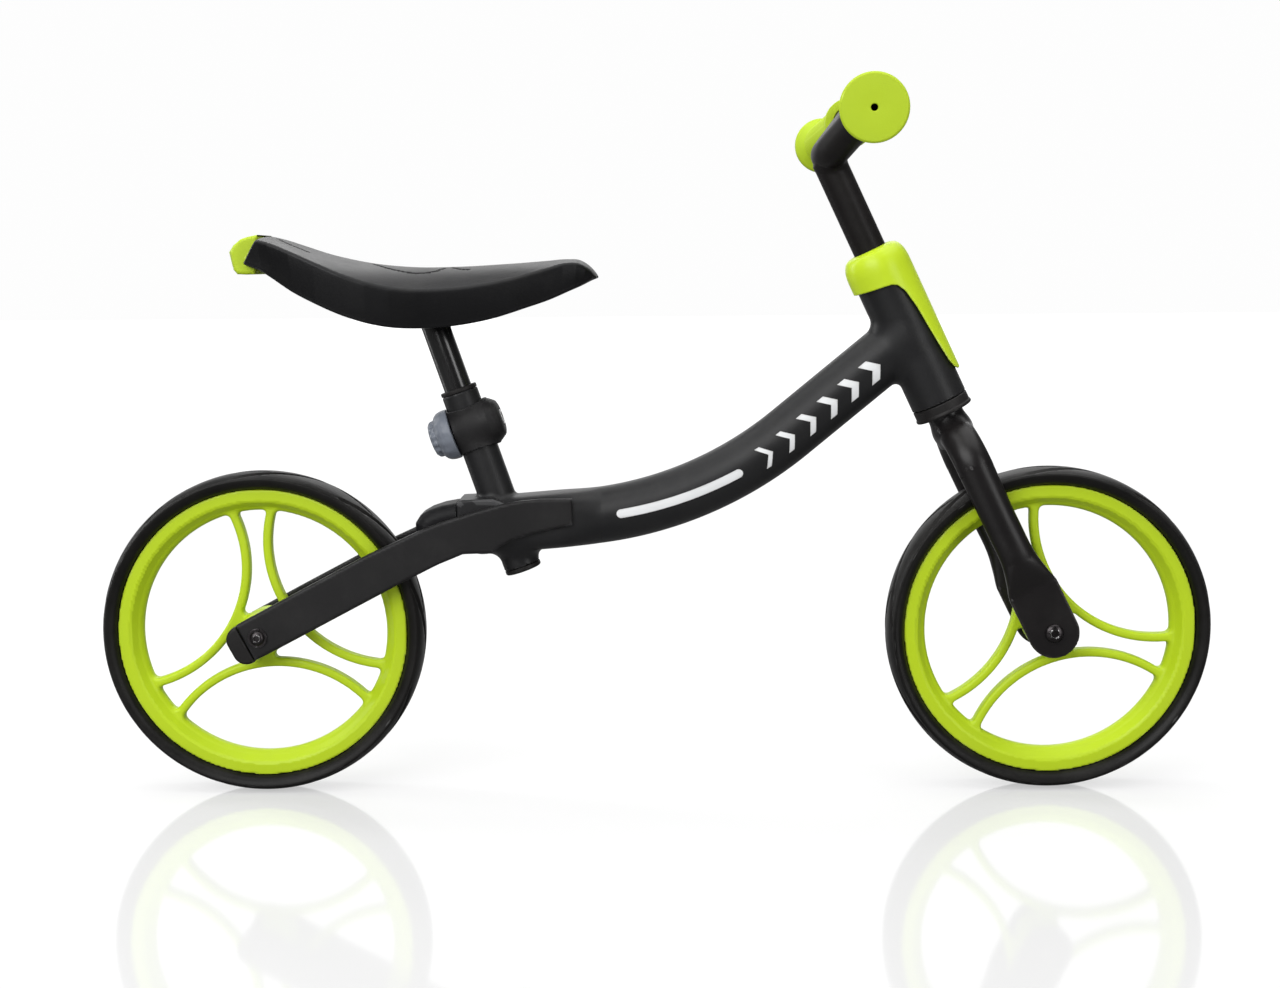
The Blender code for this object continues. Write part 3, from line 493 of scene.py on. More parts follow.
def makeEdgeRub():
    # where corners have been rubbed bright, broken up by noise
    takes = [("Place", "NodeSocketVector", None), ("Reach", "NodeSocketFloat", 0.54),
             ("Break", "NodeSocketFloat", 90.0)]
    group, given, result = newGroup("edgeRub", takes, [("Mask", "NodeSocketFloat")])
    bend = addNode(group, "NewGeometry")
    noise = addNode(group, "TexNoise", None, {"Detail": 5.0},
                    {"Vector": given["Place"], "Scale": given["Break"]})
    shift = addNode(group, "Math", {"operation": "MULTIPLY_ADD"}, {1: 0.10, 2: -0.05},
                    {0: noise.outputs[0]})
    raised = addNode(group, "Math", {"operation": "ADD"}, {},
                     {0: bend.outputs["Pointiness"], 1: shift.outputs[0]})
    top = addNode(group, "Math", {"operation": "ADD"}, {1: 0.06}, {0: given["Reach"]})
    mask = addNode(group, "MapRange", None, {},
                   {"Value": raised.outputs[0], "From Min": given["Reach"], "From Max": top.outputs[0]})
    group.links.new(mask.outputs["Result"], result["Mask"])
    return group


def makeSettledDust():
    # a thin film that lies on faces that look up, and in patches
    takes = [("Place", "NodeSocketVector", None), ("Patch", "NodeSocketFloat", 30.0),
             ("Amount", "NodeSocketFloat", 0.3)]
    group, given, result = newGroup("settledDust", takes, [("Mask", "NodeSocketFloat")])
    noise = addNode(group, "TexNoise", None, {"Detail": 8.0, "Roughness": 0.7},
                    {"Vector": given["Place"], "Scale": given["Patch"]})
    patches = addNode(group, "MapRange", None, {"From Min": 0.45, "From Max": 0.8},
                      {"Value": noise.outputs[0]})
    facing = addNode(group, "NewGeometry")
    split = addNode(group, "SeparateXYZ", None, {}, {"Vector": facing.outputs["Normal"]})
    lifted = addNode(group, "MapRange", None, {"From Min": -0.2, "To Min": 0.25},
                     {"Value": split.outputs["Z"]})
    film = addNode(group, "Math", {"operation": "MULTIPLY"}, {},
                   {0: patches.outputs["Result"], 1: lifted.outputs["Result"]})
    amount = addNode(group, "Math", {"operation": "MULTIPLY"}, {},
                     {0: film.outputs[0], 1: given["Amount"]})
    group.links.new(amount.outputs[0], result["Mask"])
    return group


mouldGrain = makeMouldGrain()
edgeRub = makeEdgeRub()
settledDust = makeSettledDust()

finishes = {
    # colour, second colour it drifts to, colour where rubbed, roughness range, grain size and depth,
    # clear coat, dust, and how much of the plain shine it keeps
    "framePaint": {"colour": (0.0085, 0.0085, 0.0092), "drift": (0.012, 0.012, 0.013),
                   "rubbed": (0.05, 0.05, 0.052), "rough": (0.36, 0.46), "grain": 1700.0, "depth": 0.00005,
                   "coat": 0, "dust": 0.05, "shine": 0.26},
    "castPaint": {"colour": (0.0078, 0.0075, 0.0078), "drift": (0.011, 0.0105, 0.0112),
                  "rubbed": (0.05, 0.05, 0.052), "rough": (0.44, 0.54), "grain": 1200.0, "depth": 0.00007,
                  "coat": 0, "dust": 0.06, "shine": 0.24},
    "forkPaint": {"colour": (0.0062, 0.0052, 0.0055), "drift": (0.009, 0.0078, 0.008),
                  "rubbed": (0.05, 0.045, 0.043), "rough": (0.28, 0.36), "grain": 2100.0, "depth": 0.00003,
                  "coat": 0, "dust": 0.06, "shine": 0.26},
    "barPaint": {"colour": (0.0062, 0.0052, 0.0053), "drift": (0.009, 0.0076, 0.0075),
                 "rubbed": (0.06, 0.055, 0.05), "rough": (0.38, 0.46), "grain": 2100.0, "depth": 0.00003,
                 "coat": 0, "dust": 0.05, "shine": 0.16},
    "postEnamel": {"colour": (0.004, 0.004, 0.0043), "drift": (0.006, 0.006, 0.0063),
                   "rubbed": (0.10, 0.10, 0.10), "rough": (0.13, 0.20), "grain": 2600.0, "depth": 0.000002,
                   "coat": 0.4, "dust": 0.04, "shine": 0.4},
    "blackNylon": {"colour": (0.0085, 0.0078, 0.0078), "drift": (0.012, 0.0108, 0.0108),
                   "rubbed": (0.06, 0.055, 0.055), "rough": (0.42, 0.55), "grain": 1300.0, "depth": 0.00008,
                   "coat": 0, "dust": 0.07, "shine": 0.22},
    "shinyNylon": {"colour": (0.005, 0.005, 0.0058), "drift": (0.0075, 0.0075, 0.0085),
                   "rubbed": (0.06, 0.06, 0.06), "rough": (0.42, 0.52), "grain": 1500.0, "depth": 0.00003,
                   "coat": 0, "dust": 0.08, "shine": 0.14},
    "saddleSkin": {"colour": (0.0036, 0.0036, 0.0042), "drift": (0.0055, 0.0055, 0.0063),
                   "rubbed": (0.05, 0.05, 0.053), "rough": (0.36, 0.46), "grain": 1100.0, "depth": 0.00010,
                   "coat": 0, "dust": 0.05, "shine": 0.22},
    "limeShell": {"colour": (0.54, 0.72, 0.02), "drift": (0.515, 0.69, 0.018), "rubbed": (0.60, 0.76, 0.12),
                  "rough": (0.34, 0.44), "grain": 1500.0, "depth": 0.00004, "coat": 0.05, "dust": 0.04,
                  "shine": 0.3},
    "limeRubber": {"colour": (0.435, 0.58, 0.022), "drift": (0.41, 0.555, 0.019),
                   "rubbed": (0.58, 0.74, 0.10), "rough": (0.46, 0.58), "grain": 1000.0, "depth": 0.00010,
                   "coat": 0, "dust": 0.06, "shine": 0.24},
    "limeWheel": {"colour": (0.475, 0.64, 0.0155), "drift": (0.45, 0.61, 0.014),
                  "rubbed": (0.58, 0.74, 0.10), "rough": (0.36, 0.46), "grain": 1300.0, "depth": 0.00005,
                  "coat": 0, "dust": 0.05, "shine": 0.26},
    "tyreRubber": {"colour": (0.005, 0.0047, 0.0045), "drift": (0.0075, 0.007, 0.0067),
                   "rubbed": (0.05, 0.05, 0.05), "rough": (0.34, 0.46), "grain": 900.0, "depth": 0.00010,
                   "coat": 0, "dust": 0.07, "shine": 0.15},
    "slateNylon": {"colour": (0.175, 0.193, 0.23), "drift": (0.148, 0.164, 0.196),
                   "rubbed": (0.26, 0.28, 0.31), "rough": (0.34, 0.44), "grain": 1200.0, "depth": 0.00006,
                   "coat": 0.05, "dust": 0.08, "shine": 0.34},
    "printWhite": {"colour": (0.8, 0.81, 0.82), "drift": (0.74, 0.75, 0.76), "rubbed": (0.62, 0.62, 0.62),
                   "rough": (0.38, 0.46), "grain": 1700.0, "depth": 0.00003, "coat": 0, "dust": 0.08,
                   "shine": 0.34},
}


mould = {"dustColour": (0.30, 0.29, 0.27), "bump": 0.55, "coatRough": 0.22}


def makeFinish(name):
    values = finishes[name]
    material = bpy.data.materials.new(name)
    material.use_nodes = True
    tree = material.node_tree
    shader = tree.nodes["Principled BSDF"]
    place = addNode(tree, "TexCoord").outputs["Object"]
    grain = addNode(tree, "Group", {"node_tree": mouldGrain}, {"Size": values["grain"]}, {"Place": place})
    rub = addNode(tree, "Group", {"node_tree": edgeRub}, {}, {"Place": place})
    dust = addNode(tree, "Group", {"node_tree": settledDust}, {"Amount": values["dust"]},
                   {"Place": place})
    drift = addNode(tree, "Mix", {"data_type": "RGBA"},
                    {6: (*values["colour"], 1), 7: (*values["drift"], 1)}, {0: grain.outputs["Mottle"]})
    worn = addNode(tree, "Mix", {"data_type": "RGBA"}, {7: (*values["rubbed"], 1)},
                   {0: rub.outputs["Mask"], 6: drift.outputs[2]})
    dusty = addNode(tree, "Mix", {"data_type": "RGBA"}, {7: (*mould["dustColour"], 1)},
                    {0: dust.outputs["Mask"], 6: worn.outputs[2]})
    tree.links.new(dusty.outputs[2], shader.inputs["Base Color"])
    low, high = values["rough"]
    rough = addNode(tree, "MapRange", None, {"To Min": low, "To Max": high},
                    {"Value": grain.outputs["Mottle"]})
    dull = addNode(tree, "Math", {"operation": "ADD"}, {},
                   {0: rough.outputs["Result"], 1: dust.outputs["Mask"]})
    tree.links.new(dull.outputs[0], shader.inputs["Roughness"])
    bump = addNode(tree, "Bump", None, {"Strength": mould["bump"], "Distance": values["depth"]},
                   {"Height": grain.outputs["Height"]})
    tree.links.new(bump.outputs["Normal"], shader.inputs["Normal"])
    shader.inputs["Coat Weight"].default_value = values["coat"]
    shader.inputs["Coat Roughness"].default_value = mould["coatRough"]
    shader.inputs["Specular IOR Level"].default_value = values["shine"]
    return material


metals = {
    "zincSteel": {"colour": (0.56, 0.56, 0.57), "dark": (0.36, 0.36, 0.37), "rough": (0.24, 0.42)},
    "blackSteel": {"colour": (0.055, 0.050, 0.052), "dark": (0.030, 0.027, 0.028), "rough": (0.24, 0.38)},
}
rolled = {"grain": 2400.0, "drift": 160.0, "rubBreak": 240.0, "rubbed": (0.62, 0.62, 0.62), "bump": 0.4,
          "depth": 0.00002}


def makeMetal(name):
    values = metals[name]
    material = bpy.data.materials.new(name)
    material.use_nodes = True
    tree = material.node_tree
    shader = tree.nodes["Principled BSDF"]
    place = addNode(tree, "TexCoord").outputs["Object"]
    grain = addNode(tree, "Group", {"node_tree": mouldGrain},
                    {"Size": rolled["grain"], "Drift": rolled["drift"]},
                    {"Place": place})
    rub = addNode(tree, "Group", {"node_tree": edgeRub}, {"Break": rolled["rubBreak"]}, {"Place": place})
    tone = addNode(tree, "Mix", {"data_type": "RGBA"},
                   {6: (*values["dark"], 1), 7: (*values["colour"], 1)},
                   {0: grain.outputs["Mottle"]})
    bright = addNode(tree, "Mix", {"data_type": "RGBA"}, {7: (*rolled["rubbed"], 1)},
                     {0: rub.outputs["Mask"], 6: tone.outputs[2]})
    tree.links.new(bright.outputs[2], shader.inputs["Base Color"])
    low, high = values["rough"]
    rough = addNode(tree, "MapRange", None, {"To Min": low, "To Max": high},
                    {"Value": grain.outputs["Mottle"]})
    tree.links.new(rough.outputs["Result"], shader.inputs["Roughness"])
    bump = addNode(tree, "Bump", None, {"Strength": rolled["bump"], "Distance": rolled["depth"]},
                   {"Height": grain.outputs["Height"]})
    tree.links.new(bump.outputs["Normal"], shader.inputs["Normal"])
    shader.inputs["Metallic"].default_value = 1.0
    return material


looks = {name: makeFinish(name) for name in finishes}
looks.update({name: makeMetal(name) for name in metals})
print("stage: finishes")


# Main frame: the bent tube, the head tube, the rear casting and the seat tube, joined by fillets

tubes = {
    "rearEnd": (-56.7, 183.2), "lead": 8.0, "bendRadius": 250.0, "rearSlope": 4.5, "frontSlope": 39.3,
    "reach": 98.0, "halfHigh": 18.8, "halfWide": 17.0, "headRadius": 18.8, "headLow": -109.7,
    "headHigh": -12.0, "headBore": 16.1, "headFillet": 6.0, "seatRadius": 12.2, "seatLow": -125.6,
    "seatHigh": -2.9, "seatFillets": (3.0, 7.0), "castHalfWide": 19.0, "castEase": 1.6, "tail": 58.0,
    "swell": (-62.0, -36.0), "boxiness": 1.6, "headEase": 0.6, "seatEase": 0.5, "boreEase": 0.4,
}
castOutline = [
    (-130.6, 165.0), (-126.0, 162.8), (-113.0, 163.0), (-108.0, 169.0), (-93.0, 189.5), (-98.0, 195.0),
    (-107.0, 198.4), (-128.6, 197.5), (-130.6, 195.5),
]


def tubeLine(steps=40):
    # the centre line of the main tube: a tail up to the seat tube, a short lead, one bend and a straight
    x, z = tubes["rearEnd"]
    low, high = math.radians(tubes["rearSlope"]), math.radians(tubes["frontSlope"])
    radius = tubes["bendRadius"]
    line = [(x - tubes["tail"] * math.cos(low), z - tubes["tail"] * math.sin(low), low)]
    x, z = x + tubes["lead"] * math.cos(low), z + tubes["lead"] * math.sin(low)
    for step in range(steps + 1):
        slope = low + (high - low) * step / steps
        bendX = x + radius * (math.sin(slope) - math.sin(low))
        line.append((bendX, z + radius * (math.cos(low) - math.cos(slope)), slope))
    x, z, slope = line[-1]
    line.append((x + tubes["reach"] * math.cos(slope), z + tubes["reach"] * math.sin(slope), slope))
    return line


centreLine = [(x, z) for x, z, _ in tubeLine()]


def frameField(x, y, z):
    near, away = tubes["swell"]
    share = np.clip((away - x) / (away - near), 0, 1)
    wide = tubes["halfWide"] + (tubes["castHalfWide"] - tubes["halfWide"]) * share ** 2 * (3 - 2 * share)
    high = tubes["halfHigh"]
    power = 2 + tubes["boxiness"] * share
    above = np.abs(lineDistance(x, z, centreLine) / high) ** power
    main = (above + np.abs(y / wide) ** power) ** (1 / power) * high - high
    forward, up = inAxes(headAxes, x, z)
    head = rodField(forward, y, up, tubes["headRadius"], tubes["headLow"], tubes["headHigh"],
                    tubes["headEase"])
    cast = thickened(outlineField(x, z, castOutline), y, tubes["castHalfWide"], tubes["castEase"])
    back, rise = inAxes(seatAxes, x, z)
    seat = rodField(back, y, rise, tubes["seatRadius"], tubes["seatLow"], tubes["seatHigh"],
                    tubes["seatEase"])
    upper, lower = tubes["seatFillets"]
    fillet = np.where(z > tubes["rearEnd"][1], upper, lower)
    whole = merged(np.minimum(merged(main, head, tubes["headFillet"]), cast), seat, fillet)
    return carved(whole, np.hypot(forward, y) - tubes["headBore"], tubes["boreEase"])


fieldPiece("frame_tubes", frameField, looks["framePaint"], "frame",
           ["main_tube", "head_tube", "seat_tube", "rear_junction"], 1.5)


# White print along both sides of the main tube: a long stripe, and a row of plain chevrons

sidePrint = {
    "proud": 0.12, "sunk": 0.35, "stripe": (-25.0, 57.0), "stripeHalf": 2.9, "stripeOff": (0.6, -1.6),
    "stripeSteps": 44, "chevrons": 6, "first": 69.0, "last": 137.0, "arm": 7.6, "width": 6.6,
    "narrowest": 0.55,
    "slant": 6.0, "chevronOff": -1.4, "chevronSteps": 4, "rows": 5,
}


printLine = np.array(tubeLine(120))
printRuns = np.concatenate([[0.0], np.cumsum(np.hypot(*np.diff(printLine[:, :2], axis=0).T))])


def onTube(run, off, side, lift):
    # a point on the tube's skin: run along its centre line from the rear, off the line towards the top
    x, z, slope = (np.interp(run, printRuns, column) for column in printLine.T)
    y = side * (tubes["halfWide"] * math.sqrt(1 - (off / tubes["halfHigh"]) ** 2) + lift)
    return x - off * math.sin(slope), y, z + off * math.cos(slope)


def runAt(x):
    return float(np.interp(x, printLine[:, 0], printRuns))


def printPatch(columns, side):
    # columns: (run, low off, high off); gives a thin closed patch on the tube
    rows = sidePrint["rows"]
    places, faces = [], []
    for lift in (sidePrint["proud"], -sidePrint["sunk"]):
        for run, low, high in columns:
            for row in range(rows):
                off = low + (high - low) * row / (rows - 1)
                shift = run[0] + (run[1] - run[0]) * row / (rows - 1) if isinstance(run, tuple) else run
                places.append(onTube(shift, off, side, lift))
    count = len(columns)
    under = count * rows
    for index in range(count - 1):
        for row in range(rows - 1):
            a = index * rows + row
            faces.append([a, a + rows, a + rows + 1, a + 1])
            faces.append([under + a, under + a + 1, under + a + rows + 1, under + a + rows])
    border = [index * rows for index in range(count)]
    border += [(count - 1) * rows + row for row in range(1, rows)]
    border += [index * rows + rows - 1 for index in range(count - 2, -1, -1)]
    border += list(range(rows - 2, 0, -1))
    for first, second in zip(border, border[1:] + border[:1]):
        faces.append([first, first + under, second + under, second])
    return turnedOut(places, faces)


def stripeColumns():
    start, end = (runAt(x) for x in sidePrint["stripe"])
    half = sidePrint["stripeHalf"]
    columns = []
    steps = sidePrint["stripeSteps"]
    rearOff, frontOff = sidePrint["stripeOff"]
    for step in range(steps + 1):
        run = start + (end - start) * (1 - math.cos(math.pi * step / steps)) / 2
        nearest = min(run - start, end - run)
        rounding = math.sqrt(max(1 - (1 - min(nearest / half, 1)) ** 2, 0.003))
        middle = rearOff + (frontOff - rearOff) * (run - start) / (end - start)
        columns.append((run, middle - half * rounding, middle + half * rounding))
    return columns


def chevronPatches():
    patches = []
    start, end = runAt(sidePrint["first"]), runAt(sidePrint["last"])
    for index in range(sidePrint["chevrons"]):
        run = start + (end - start) * index / (sidePrint["chevrons"] - 1)
        growth = sidePrint["narrowest"] + (1 - sidePrint["narrowest"]) * index / (sidePrint["chevrons"]
            - 1)
        width = sidePrint["width"] * growth
        for turn in (1, -1):
            columns = []
            for step in range(sidePrint["chevronSteps"] + 1):
                shift = run + width * step / sidePrint["chevronSteps"]
                middle = sidePrint["chevronOff"]
                ends = (middle, middle + turn * sidePrint["arm"])
                lean = (shift + sidePrint["slant"], shift)
                low, high = sorted(ends)
                columns.append((lean if turn > 0 else lean[::-1], low, high))
            patches.append(columns)
    return patches


def buildPrint(word, side):
    places, faces = [], []
    for columns in [stripeColumns()] + chevronPatches():
        spots, patch = printPatch(columns, side)
        base = len(places)
        places.extend(spots.tolist())
        faces.extend([[base + corner for corner in face] for face in patch])
    addPiece("side_print_" + word, places, faces, looks["printWhite"], "frame")


for word, side in (("right", -1.0), ("left", 1.0)):
    buildPrint(word, side)


# Rear stays with their end plugs and the cover between them

stays = {
    "taperFrom": -165.0, "taperTo": -55.0, "taper": 5.5, "ease": 1.8, "plugGap": 0.25, "screwHole": 2.8,
    "slope": 27.8, "plugHalf": 13.25, "seam": -9.4, "plugEnd": -20.5, "plugCorner": 9.0, "plugEase": 0.5,
    "innerEase": 0.8, "holeEase": 0.4,
}
stayOutline = [
    (-277.0, 116.0), (-239.4, 136.1), (-189.4, 162.4), (-166.9, 172.6), (-154.3, 178.4), (-141.7, 183.3),
    (-127.3, 187.6), (-116.4, 191.0), (-99.7, 195.4), (-87.2, 197.5), (-75.5, 198.5), (-54.2, 198.5),
    (-54.2, 180.8), (-65.5, 178.6), (-80.0, 175.4), (-93.0, 171.6), (-101.0, 167.6),
    (-106.5, 162.9), (-126.1, 162.5), (-142.3, 155.9), (-165.8, 144.3), (-210.5, 120.7),
    (-246.3, 101.8), (-264.8, 92.3),
]


def alongStay(x, z):
    # distance ahead of the rear axle along the stay, and above it
    slope = math.radians(stays["slope"])
    dx, dz = x - rearHub[0], z - rearHub[1]
    return dx * math.cos(slope) + dz * math.sin(slope), -dx * math.sin(slope) + dz * math.cos(slope)


def staySlab(x, y, side, flat):
    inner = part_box("rear_stay_left")[0].y / mm
    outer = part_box("rear_stay_left")[1].y / mm
    share = np.clip((x - stays["taperFrom"]) / (stays["taperTo"] - stays["taperFrom"]), 0, 1)
    outside = side * y - (outer - stays["taper"] * share)
    return kept(kept(flat, outside, stays["ease"]), inner - side * y, stays["innerEase"])


def screwHollow(x, z):
    return np.hypot(x - rearHub[0], z - rearHub[1]) - stays["screwHole"]


def buildStay(word, side):
    def field(x, y, z):
        flat = outlineField(x, z, stayOutline)
        slab = staySlab(x, y, side, flat)
        return carved(slab, screwHollow(x, z), stays["holeEase"])

    def plugField(x, y, z):
        ahead, above = alongStay(x, z)
        half = stays["plugHalf"]
        corner = stays["plugCorner"]
        tip = stays["plugEnd"]
        reach = np.maximum(tip + corner - ahead, 0)
        over = np.maximum(np.abs(above) - half + corner, 0)
        flat = np.maximum(np.hypot(reach, over) - corner, np.abs(above) - half)
        flat = kept(flat, ahead - stays["seam"] + stays["plugGap"], stays["plugEase"])
        return staySlab(x, y, side, flat)

    fieldPiece("rear_stay_" + word + "_skin", field, looks["castPaint"], "frame",
               ["rear_stay_" + word], 1.4)
    fieldPiece("stay_plug_" + word + "_skin", plugField, looks["blackNylon"], "frame",
               ["stay_plug_" + word], 0.9)


for word, side in (("right", -1.0), ("left", 1.0)):
    buildStay(word, side)

bridge = {"front": -130.9, "halfWide": 18.8, "ease": 8.0}
bridgeOutline = [
    (-120.0, 166.0), (-120.0, 196.0), (-131.2, 195.2), (-140.3, 193.6), (-148.8, 190.8), (-155.0, 187.2),
    (-158.4, 182.0), (-158.4, 175.0), (-155.0, 169.6), (-150.0, 166.0),
]


def bridgeField(x, y, z):
    dome = thickened(outlineField(x, z, bridgeOutline), y, bridge["halfWide"], bridge["ease"])
    return np.maximum(dome, x - bridge["front"])


fieldPiece("bridge_cover_skin", bridgeField, looks["shinyNylon"], "frame",
           ["bridge_cover"], 1.2)


# Lime cover round the head tube, with a tongue down its front

cover = {"radius": 21.7, "stemHole": 11.3, "low": -95.0, "ease": 0.7, "insideEase": 0.3, "holeEase": 0.6}
dimple = {"drop": 9.0, "back": 19.0, "radius": 1.9, "ease": 0.3}
coverTop = eased([(0.0, 0.0), (17.2, 0.0), (21.7, -8.5), (21.7, -30.0)], 7.0, steps=7)
coverInside = [(-5.0, -120.0), (19.1, -120.0), (19.1, -11.0), (17.0, -7.2), (12.6, -3.2), (-5.0, -3.2)]
coverEdge = [
    (-40.0, -22.6), (-21.0, -23.1), (-3.0, -25.0), (1.5, -25.6), (5.0, -27.6), (8.0, -33.0),
    (10.6, -45.5), (12.3, -61.9), (14.2, -77.5), (15.7, -87.0), (17.4, -92.0), (19.3, -94.4),
    (30.0, -95.0), (40.0, -110.0), (-40.0, -110.0),
]


def coverField(x, y, z):
    forward, up = inAxes(headAxes, x, z)
    radial = np.hypot(forward, y)
    profile = coverTop + [(cover["radius"], cover["low"]), (0.0, cover["low"])]
    shell = outlineField(radial, up, [(-5.0, cover["low"]), (-5.0, 0.0)] + profile[:-1])
    shell = kept(shell, outlineField(forward, up, coverEdge) * -1.0, cover["ease"])
    shell = carved(shell, outlineField(radial, up, coverInside), cover["insideEase"])
    shell = carved(shell, radial - cover["stemHole"], cover["holeEase"])
    beside = np.hypot(y, up + dimple["drop"])
    hollow = np.hypot(beside, np.maximum(forward + dimple["back"], 0)) - dimple["radius"]
    return carved(shell, hollow, dimple["ease"])


fieldPiece("head_cover_skin", coverField, looks["limeShell"], "frame", ["head_cover"], 0.8)


# Turned pieces on the head, the seat tube and the clamp

def turnedPiece(name, profile, place, look, body, nodes, ease=0.4, steps=96, shape=None):
    closed = profile[0][0] > 0
    places, faces = turnedMesh(eased(profile, ease, closed), steps, place, shape)
    return addPiece(name, places, faces, looks[look], body, nodes)


coverScrew = [(0.0, -20.3), (1.2, -20.3), (1.6, -19.9), (1.6, -19.15), (0.0, -19.15)]
turnedPiece("cover_screw_head", coverScrew, alongForward(headAxes, -dimple["drop"]), "blackSteel",
            "frame",
            ["head_cover_screw"], 0.15, 40)

headset = {"bore": 12.4, "radius": 18.8, "lip": 19.5, "low": -118.3, "height": 8.2, "sleeve": 15.8}


def buildHeadset():
    bore, radius, low = headset["bore"], headset["radius"], headset["low"]
    high = low + headset["height"]
    lower = [(bore, low + 0.3), (15.0, low + 0.3), (16.6, low), (headset["lip"] - 0.6, low),
             (headset["lip"], low + 0.8), (headset["lip"] - 0.2, low + 2.0), (radius, low + 2.6),
             (radius, high - 0.5), (radius - 0.5, high), (headset["sleeve"], high),
             (headset["sleeve"], high + 13.8), (bore, high + 13.8)]
    turnedPiece("headset_lower_ring", lower, alongUp(headAxes), "blackNylon", "frame",
                ["headset_lower"])
    upper = [(bore, -24.0), (headset["sleeve"], -24.0), (headset["sleeve"], -11.7), (17.4, -11.7),
             (17.4, -9.0), (bore, -9.0)]
    turnedPiece("headset_upper_ring", upper, alongUp(headAxes), "blackNylon", "frame",
                ["headset_upper"])


buildHeadset()

seatParts = {"tube": 12.2, "cap": -129.0, "sleeveInner": 9.6, "sleeveLow": -45.0}


def buildSeatTubeParts():
    tube, low = seatParts["tube"], seatParts["cap"]
    cap = [(0.0, low), (11.4, low), (tube, low + 0.8), (tube, low + 3.1), (10.9, low + 3.1),
           (10.9, low + 10.0), (0.0, low + 10.0)]
    turnedPiece("seat_tube_plug", cap, alongUp(seatAxes), "blackNylon", "frame",
                ["seat_tube_cap"])
    inner = seatParts["sleeveInner"]
    sleeve = [(inner, seatParts["sleeveLow"]), (10.9, seatParts["sleeveLow"]), (10.9, -2.7),
              (tube + 0.1, -2.7), (tube + 0.1, -0.5), (tube - 0.4, 0.0), (inner, 0.0)]
    turnedPiece("post_sleeve", sleeve, alongUp(seatAxes), "blackNylon", "frame",
                ["seat_post_sleeve"])
    shaft = [(7.8, -85.0), (9.3, -85.0), (9.3, 58.0), (7.8, 58.0)]
    turnedPiece("post_shaft", shaft, alongUp(seatAxes), "postEnamel", "seat", ["seat_post"])


buildSeatTubeParts()


# Clamp: a cast boss round the seat tube, and the slate knob behind it

clamp = {"depth": -27.3, "front": 21.9, "frontRadius": 15.5, "rear": -11.8, "rearRadius": 13.2,
         "collar": 14.2, "collarLow": -41.5, "collarHigh": -13.5, "bow": 0.8, "bowAt": 12.0, "bore": 12.4,
         "boreEase": 0.3, "recess": 6.2, "recessFloor": 17.3, "ease": 2.6, "blend": 3.0}


def clampField(x, y, z):
    forward, up = inAxes(seatAxes, x, z)
    across = np.hypot(y, up - clamp["depth"])
    profile = [(-5.0, clamp["rear"]), (clamp["rearRadius"], clamp["rear"]), (14.4, 0.0),
               (clamp["frontRadius"], 8.0), (15.4, 12.5), (14.2, 16.8), (11.6, 20.4),
               (9.0, clamp["front"]), (-5.0, clamp["front"])]
    boss = outlineField(across, forward, profile)
    bow = clamp["bow"] * (forward / clamp["bowAt"]) ** 2
    collar = np.maximum(np.hypot(forward, y) - clamp["collar"],
                        np.maximum(up - clamp["collarHigh"] - bow, clamp["collarLow"] - bow - up))
    body = merged(kept(boss, forward - clamp["front"], clamp["ease"]), collar, clamp["blend"])
    body = carved(body, np.hypot(forward, y) - clamp["bore"], clamp["boreEase"])
    return carved(body, kept(across - clamp["recess"], clamp["recessFloor"] - forward, 0.4), 0.8)


fieldPiece("clamp_boss_skin", clampField, looks["castPaint"], "frame", ["clamp_boss"], 0.75,
           box=boxAround(["clamp_boss"], 4.0))

knob = {"lobes": 14, "inside": 9.0, "skirtLobe": 0.35, "skirtFrom": 14.0, "skirtFade": 4.0,
        "capLobe": 0.7,
        "capFrom": 23.4}


def knobShape(radius, height, angle):
    # shallow lobes round the skirt, and deeper ones round the small cap behind it
    if radius < knob["inside"]:
        return radius
    wave = 0.5 - 0.5 * math.cos(knob["lobes"] * angle)
    if -height > knob["capFrom"]:
        return radius - knob["capLobe"] * wave
    fade = min(max((-height - knob["skirtFrom"]) / knob["skirtFade"], 0.0), 1.0)
    return radius - knob["skirtLobe"] * wave * fade


knobProfile = [
    (0.0, -28.2), (8.0, -28.2), (10.6, -27.6), (12.0, -26.2), (12.4, -24.6), (12.3, -23.6), (13.2, -23.0),
    (14.6, -22.0), (16.0, -20.0), (16.7, -17.6), (16.9, -15.0), (16.8, -13.0), (16.4, -12.6),
    (9.2, -12.6),
    (9.2, -14.2), (3.4, -14.2), (3.4, -26.0), (0.0, -26.0),
]
turnedPiece("knob_cap", knobProfile, alongForward(knobAxes), "slateNylon", "clamp_knob",
            ["clamp_knob"], ease=0.5, steps=208, shape=knobShape)


# Fork: crown arch and two blades that flatten into axle plates

